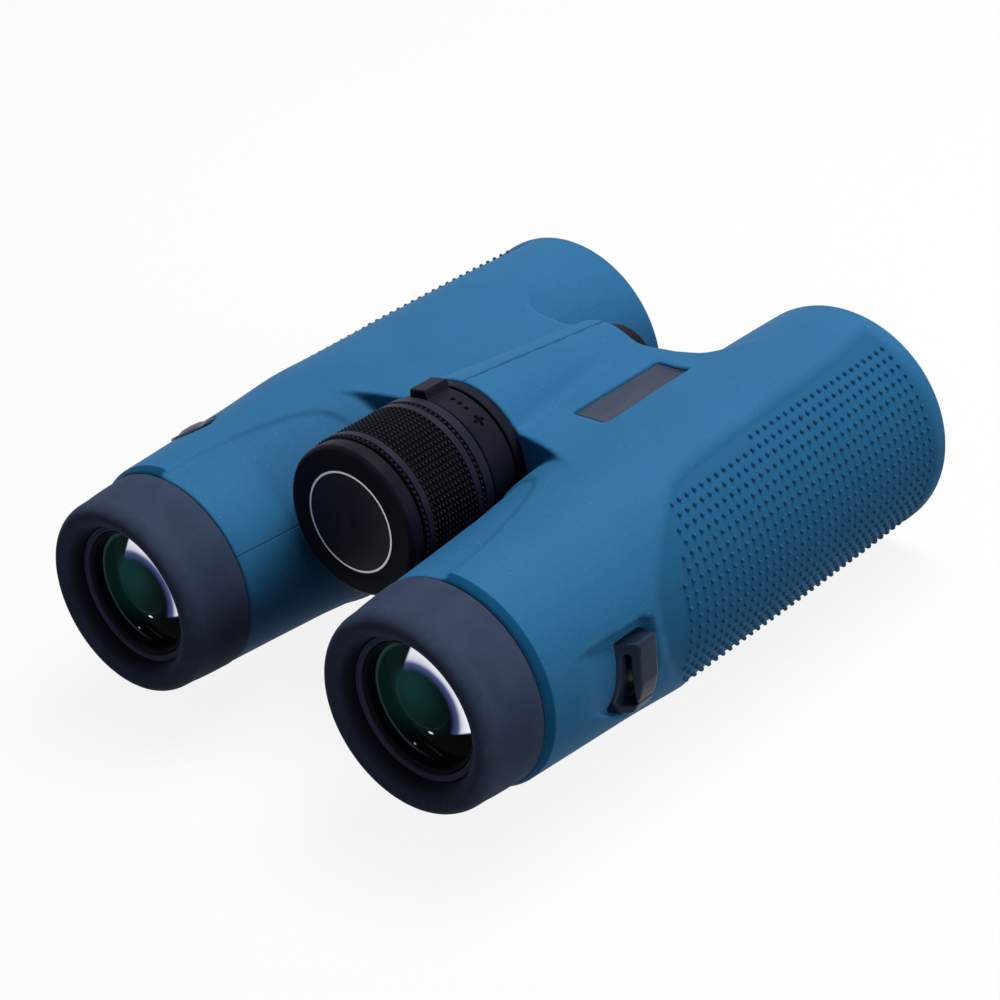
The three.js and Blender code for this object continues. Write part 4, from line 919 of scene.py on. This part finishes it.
# %% [markdown]
# ## Focus wheel
#
# The wheel has a smooth end rim and a rubber grip band. The band carries pyramids in rows: one
# narrow row, a wide field, and another narrow row, cut into the band so that smooth rings
# stand between them. It is one sheet over angle and station whose radius rises where both a
# wave round the wheel and a wave along it are high.

# %% Focus wheel
HINGE = (0.0, HINGE_Z)
TEETH = 80
KNURL_ROWS = ((28.75, 29.95, 1), (31.4, 43.8, 13), (45.3, 46.5, 1))    # start, end, number of rows
PLAIN_STATIONS = [28.95, 30.0, 30.3, 31.1, 31.35, 43.85, 44.4, 45.0, 45.25, 46.55, 47.4, 48.4, 48.6]
KNURL_FOOT, KNURL_HEIGHT, PLAIN_HEIGHT = 15.75, 0.55, 0.8


def wave(t):
    """A peak of 1 at whole numbers that falls straight to 0 between them."""
    return 1 - 2 * np.abs(t - np.round(t))


def knurl(stations, turns):
    """Height of the knurling, 0 to 1: the lower of two saw-tooth waves, one round the wheel and one
    along it, made a little blunt, inside each band of stations, and a plain height elsewhere."""
    y = stations[:, None]
    total = np.full((len(stations), turns.size), PLAIN_HEIGHT)
    for start, end, rows in KNURL_ROWS:
        along = (y - start) / (end - start) * rows - 0.5
        peak = np.clip(1.8 * np.minimum(wave(TEETH * turns), wave(along)) - 0.4, 0, 1)
        total = np.where((y > start) & (y < end), peak, total)
    return total


def polar_sheet(stations, radii, angle):
    """A sheet round the hinge axis: x = r sin a, y = station, z = hinge + r cos a, with its last
    row joined to its first."""
    y = np.repeat(np.reshape(stations, (-1, 1)), angle.size, 1)
    points = np.stack([radii * np.sin(angle), y, HINGE_Z + radii * np.cos(angle)], -1)
    return points.reshape(-1, 3), grid_quads(len(radii), angle.size, wrap_rows=True)


def plain_rows(radii, count):
    """Rows of a sheet that have one radius each."""
    return np.tile(np.reshape(radii, (-1, 1)), count)


turns = np.linspace(0, 1, 6 * TEETH, endpoint=False)
band = np.concatenate([*[np.linspace(a, b, 6 * n + 1) for a, b, n in KNURL_ROWS], PLAIN_STATIONS])
band = np.unique(np.round(band, 4))
band = band[band >= PLAIN_STATIONS[0]]
grip_r = np.vstack([plain_rows([13.95, 15.6], turns.size), KNURL_FOOT + KNURL_HEIGHT * knurl(band, turns),
                    plain_rows([16.1, 15.9, 13.95], turns.size)])
put_mesh("focus_grip_band", *polar_sheet([28.9, 28.9, *band, 48.7, 48.75, 48.75], grip_r, 2 * np.pi * turns),
         KNURLED, "focus_wheel", "knurled_rubber", ["focus_grip"], sharp=25, merge=True)

turned_piece("focus_wheel_body", [
    [26.4, 3.2], [26.4, 10.9], [25.02, 10.9], [25.0, 11.0], [25.0, 15.1], [25.7, 15.8], [28.6, 15.8],
    [28.6, 13.6], [48.2, 13.6], [48.2, 3.2]], HINGE, PLASTIC, "focus_wheel", "black_plastic", ["focus_knob"],
    segments=192, radius=0.3)


def cap_finish():
    """The end disc: satin black, spun, with one silver ring printed near its edge."""
    made = Finish("cap_black", paint(26, 30, 44), 0.42, Specular_IOR_Level=0.1)
    where, x, y, z = made.place()
    radius = from_hinge(x, z)
    ring = (radius - 10.45).size().fall(0.17, 0.25)
    spun = made.add("ShaderNodeTexNoise", {"noise_dimensions": "1D"}, W=radius, Scale=9.0, Detail=2.0)
    grain = made.noise(where, 4200.0, 2.0)
    colour = made.layers(paint(26, 30, 44), (grain.step(0.5, 0.8) * 0.3, paint(40, 45, 62)),
                         (ring, paint(206, 209, 216)))
    made.feed("Metallic", ring * 0.85)
    return made.done(colour, 0.36 + 0.1 * spun + ring * 0.15, spun * 0.6 + grain * 0.4 + ring, 0.00002)


turned_piece("focus_end_disc", [[25.0, 0.0], [25.0, 10.86], [26.2, 10.86], [26.2, 0.0]], HINGE, cap_finish(),
             "focus_wheel", "gloss_black", ["focus_cap"], segments=160, radius=0.04)

# %% [markdown]
# ## Diopter ring, collar and tripod cap
#
# The diopter ring is a plain band with a raised lug to push it round. Three dots and a plus
# are sunk into it on one side of the lug, and a minus on the other. It is one sheet over angle
# and station, and its radius takes in the lug and the marks.

# %% Diopter ring
LUG_TURN, LUG_TOP, LUG_WIDE = math.radians(-9), 17.44, 2.55    # the lug's angle, height and half width
RING_R, RING_REAR, RING_FRONT, RING_EDGE = 15.6, 49.5, 56.2, 0.35
MARKS_Y, MARK_DEPTH = 53.15, 0.45
STROKE_LONG, STROKE_WIDE, DOT_MARK_R = 1.25, 0.36, 0.5         # half sizes of plus, minus and dots


def mark_distance(turn, y):
    """Distance in millimetres on the ring to the nearest mark, negative inside it."""
    near = np.full(turn.shape, 9.0)
    for degrees in (11.5, 18.2, 24.6):
        near = np.minimum(near, np.hypot((turn - math.radians(degrees)) * RING_R, y - MARKS_Y) - DOT_MARK_R)
    for degrees, upright in ((37.8, True), (-39.0, False)):
        u, v = np.abs(turn - math.radians(degrees)) * RING_R, np.abs(y - MARKS_Y)
        near = np.minimum(near, np.maximum(u - STROKE_LONG, v - STROKE_WIDE))
        if upright:
            near = np.minimum(near, np.maximum(v - STROKE_LONG, u - STROKE_WIDE))
    return near


def diopter_radius(turn, y):
    """The ring's radius at an angle and a station: a band with rounded edges, the flat-topped
    lug, whose radius is height / cos(angle) between sloping flanks, less the sunk marks."""
    lug_turn = turn - LUG_TURN
    flank = rise(LUG_WIDE - np.abs(16.6 * np.sin(lug_turn)), 0.75) * (np.cos(lug_turn) > 0)
    crown = RING_R + flank * (LUG_TOP / np.maximum(np.cos(lug_turn), 0.5) - RING_R)
    to_end = np.minimum(y - RING_REAR, RING_FRONT - y)
    edge = RING_EDGE - np.sqrt(np.maximum(RING_EDGE ** 2 - np.maximum(RING_EDGE - to_end, 0) ** 2, 0))
    return crown - edge - MARK_DEPTH * rise(0.08 - mark_distance(turn, y), 0.16)


turn = np.linspace(-np.pi, np.pi, 1080, endpoint=False)
near_end = RING_EDGE * np.array([0, 0.04, 0.15, 0.35, 0.65, 1.0])
middle = np.linspace(RING_REAR + 0.4, RING_FRONT - 0.4, 54)
rows = np.unique(np.concatenate([RING_REAR + near_end, RING_FRONT - near_end, middle]))
bore = plain_rows([12.0], turn.size)
radii = np.vstack([bore, diopter_radius(turn, rows[:, None]), bore])
put_mesh("diopter_band", *polar_sheet([RING_REAR, *rows, RING_FRONT], radii, turn), MARKED, "diopter",
         "black_plastic", ["diopter_ring"], sharp=50, merge=True)

turned_piece("collar_behind_bridge", [
    [49.3, 3.2], [49.3, 11.7], [56.5, 11.7], [56.5, 14.6], [56.9, 14.8], [56.9, 15.55], [59.3, 15.55],
    [59.3, 14.5], [61.0, 14.5], [61.0, 3.2]],
    HINGE, PLASTIC, "left_barrel", "black_plastic", ["rear_collar"], segments=160, radius=0.25)

turned_piece("tripod_screw_cap", [
    [97.0, 0.0], [97.0, 2.8], [105.1, 2.8], [105.1, 8.2], [110.4, 8.2], [111.3, 7.3], [111.3, 5.2],
    [110.9, 4.8], [110.9, 0.0]], HINGE, PLASTIC, "socket_cap", "black_plastic", ["tripod_cap"], radius=0.25)

# %% [markdown]
# ## Strap lugs, plate and badge
#
# A strap lug is a smooth bar with a flat top and a slot through it for the strap. The plate on the
# bridge and the badge on the left barrel are bare metal parts with a raised border.

# %% Strap lugs
def lug_field(x, y, z):
    """A bar that follows the barrel, with a flat top and foot and a slanted rear, and a slot
    with rounded corners through it from the rear to the front."""
    out, radius = x - BARREL_X, np.hypot(x - BARREL_X, z)
    rear = (31.8 + (radius - 20.9) * 0.7 - y) * 0.82
    ends = np.maximum(z - 4.3, -11.7 - z)
    block = both(both(both(np.maximum(radius - 24.9, out - 24.5), ends, 0.9), y - 40.1, 1.0), rear, 0.35)
    slot = both(np.abs(z + 3.7) - 5.9, np.maximum(out - 23.0, 21.6 - radius), 0.9)
    return np.maximum(without(block, slot, 0.4), 20.4 - radius)


step = 0.2
lug_axes = [spaced((low, high, step)) for low, high in ((53.0, 62.4), (31.0, 41.0), (-12.6, 5.2))]
points, quads = net(lug_field, lug_axes)
for side, sign in SIDES:
    put_mesh(f"strap_bar_{side}", *mirrored(points, quads, sign), GLOSS, f"{side}_barrel", "gloss_black",
             [f"strap_lug_{side}"])


# %% Name plate and badge
def plaque(half_width, half_length, corner, section, steps=8):
    """A flat plate: each [inset, height] of the section is a rounded rectangle drawn in by the
    inset at that height. A rounded rectangle is an arc of the corner's radius in each corner."""
    rings = []
    for inset, height in section:
        w, h = half_width - inset, half_length - inset
        c = min(max(corner - inset, 0.0), w)
        a = np.radians(np.linspace(0, 90, steps))[None, :] + np.radians([0, 90, 180, 270])[:, None]
        sx, sy = np.array([1, -1, -1, 1])[:, None], np.array([1, 1, -1, -1])[:, None]
        rings.append(np.stack([(sx * (w - c) + c * np.cos(a)).ravel(), (sy * (h - c) + c * np.sin(a)).ravel(),
                               np.full(4 * steps, height)], -1))
    return np.stack(rings).reshape(-1, 3), grid_quads(len(rings), 4 * steps)


section = [[4.0, -1.0], [0.1, -1.0], [0.0, -0.9], [0.0, -0.62], [0.08, -0.52], [0.2, -0.5],
           [0.4, -0.5], [0.5, -0.55], [0.56, -0.66], [0.62, -0.68], [4.0, -0.68]]
points, quads = plaque(PLATE_WIDE, PLATE_LONG, 0.35, section)
put_mesh("bridge_plate", points + [PLATE_X, PLATE_Y, DECK_Z], quads, PLATE, "right_barrel", "plate_grey",
         ["name_plate"], sharp=40, merge=True)

badge_profile = [[22.7, 0.0], [22.7, BADGE_R], [23.25, BADGE_R], [23.45, 4.75], [23.45, 4.45], [23.2, 4.25],
                 [23.3, 3.6], [23.9, 2.2], [24.1, 0.0]]
points, quads = turned(rounded(badge_profile, 0.3), (0.0, 0.0), 96)
upright = np.array([-math.sin(BADGE_TILT), 0.0, math.cos(BADGE_TILT)])
across = np.array([math.cos(BADGE_TILT), 0.0, math.sin(BADGE_TILT)])
points = points[:, 1:2] * upright + points[:, :1] * across + points[:, 2:] * [0.0, 1.0, 0.0]
put_mesh("round_badge", points + [-BARREL_X, BADGE_Y, 0.0], quads, SILVER, "left_barrel", "badge_silver",
         ["side_badge"], sharp=40, merge=True)

# %% [markdown]
# ## Camera, floor and light
#
# The camera stands where the photographer stood: above and to the right of the eyepieces,
# leaning a little to the side. The floor is pale and keeps a soft shadow. Towards the camera
# it is lifted to white by a weak glow of its own, so no more light falls on the object.

# %% Camera
def camera_from_angles(azimuth, elevation, roll, distance, target, lens):
    """A camera on the line back = (sin a cos e, -cos a cos e, sin e) from the target, with its
    right and up directions turned about that line by the roll."""
    a, e, t = (math.radians(v) for v in (azimuth, elevation, roll))
    back = Vector((math.sin(a) * math.cos(e), -math.cos(a) * math.cos(e), math.sin(e)))
    right = Vector((math.cos(a), math.sin(a), 0))
    up = back.cross(right)
    right, up = math.cos(t) * right + math.sin(t) * up, -math.sin(t) * right + math.cos(t) * up
    data = bpy.data.cameras.new("photo_camera")
    data.lens, data.sensor_width = lens, 36.0
    data.clip_start, data.clip_end = 0.01, 20.0
    camera = add_object("photo_camera", data)
    turn = Matrix((right, up, back)).transposed().to_4x4()
    camera.matrix_world = Matrix.Translation(Vector(target) + back * distance) @ turn
    bpy.context.scene.camera = camera
    return camera


camera = camera_from_angles(42.22, 27.98, -4.59, 0.5168, to_frame([-1.25, 69.28, 0.0]), 90.55)
print("camera at", [round(c, 4) for c in camera.location])


# %% Floor and light
FLOOR_BOUNCE, AMBIENT = 0.1, 0.07
FLOOR_HALF, FLOOR_Z = 4.0, -0.0002
KEY_WATTS, RIGHT_WATTS = 12.6, 2.6


def grey(level):
    return level, level, level, 1.0


def seen_rays(tree):
    """1 for rays that look at the background directly, in a reflection or through glass."""
    rays = tree.nodes.new("ShaderNodeLightPath").outputs
    camera, glossy, through = (Wire(tree, rays[f"Is {k} Ray"]) for k in ("Camera", "Glossy", "Transmission"))
    return camera.larger(glossy).larger(through)


def floor_material():
    """Pale where it is seen, with a soft shadow, and dark for the light it sends up. Its glow grows
    a little away from the object, where no lamp reaches."""
    made = Finish("pale_floor", grey(0.86), 0.9)
    seen = seen_rays(made.tree)
    where, x, y, z = made.place()
    pale = made.blend(made.noise(where, 900.0, 2.0), grey(0.86), grey(0.9))
    made.feed("Base Color", made.blend(seen, grey(FLOOR_BOUNCE), pale))
    glow = made.add("ShaderNodeEmission", Color=grey(1.0), Strength=1.0 + x.far(y).step(0.4, 1.6) * 0.136)
    mix = made.tree.nodes.new("ShaderNodeMixShader")
    for socket, value in zip(mix.inputs, (seen * 0.88, Wire(made.tree, made.shader.outputs[0]), glow)):
        join_socket(made.tree, socket, value)
    made.tree.links.new(mix.outputs[0], made.tree.nodes["Material Output"].inputs["Surface"])
    return made.material


floor_mesh = bpy.data.meshes.new("floor")
corners = [(FLOOR_HALF * i, FLOOR_HALF * j, FLOOR_Z) for i, j in ((-1, -1), (1, -1), (1, 1), (-1, 1))]
floor_mesh.from_pydata(corners, [], [(0, 1, 2, 3)])
floor_mesh.materials.append(floor_material())
add_object("floor", floor_mesh)

scene = bpy.context.scene
scene.world = bpy.data.worlds.new("studio")
scene.world.use_nodes = True
sky = scene.world.node_tree.nodes["Background"]
seen = seen_rays(scene.world.node_tree)
join_socket(scene.world.node_tree, sky.inputs["Strength"], AMBIENT + seen * (1.0 - AMBIENT))
sky.inputs["Color"].default_value = grey(1.0)


def softbox(name, place, size, watts, aim=(0, 0, 0.02)):
    """A rectangular area light that faces a point."""
    data = bpy.data.lights.new(name, "AREA")
    data.shape, data.size, data.size_y = "RECTANGLE", size[0], size[1]
    data.energy = watts
    lamp = add_object(name, data)
    lamp.location = place
    lamp.rotation_euler = (Vector(aim) - Vector(place)).to_track_quat("-Z", "Y").to_euler()


softbox("key_light", (0.06, 0.34, 1.1), (0.8, 0.6), KEY_WATTS)
softbox("right_light", (0.95, -0.05, 0.32), (0.4, 0.4), RIGHT_WATTS)
scene.view_settings.view_transform = "Standard"
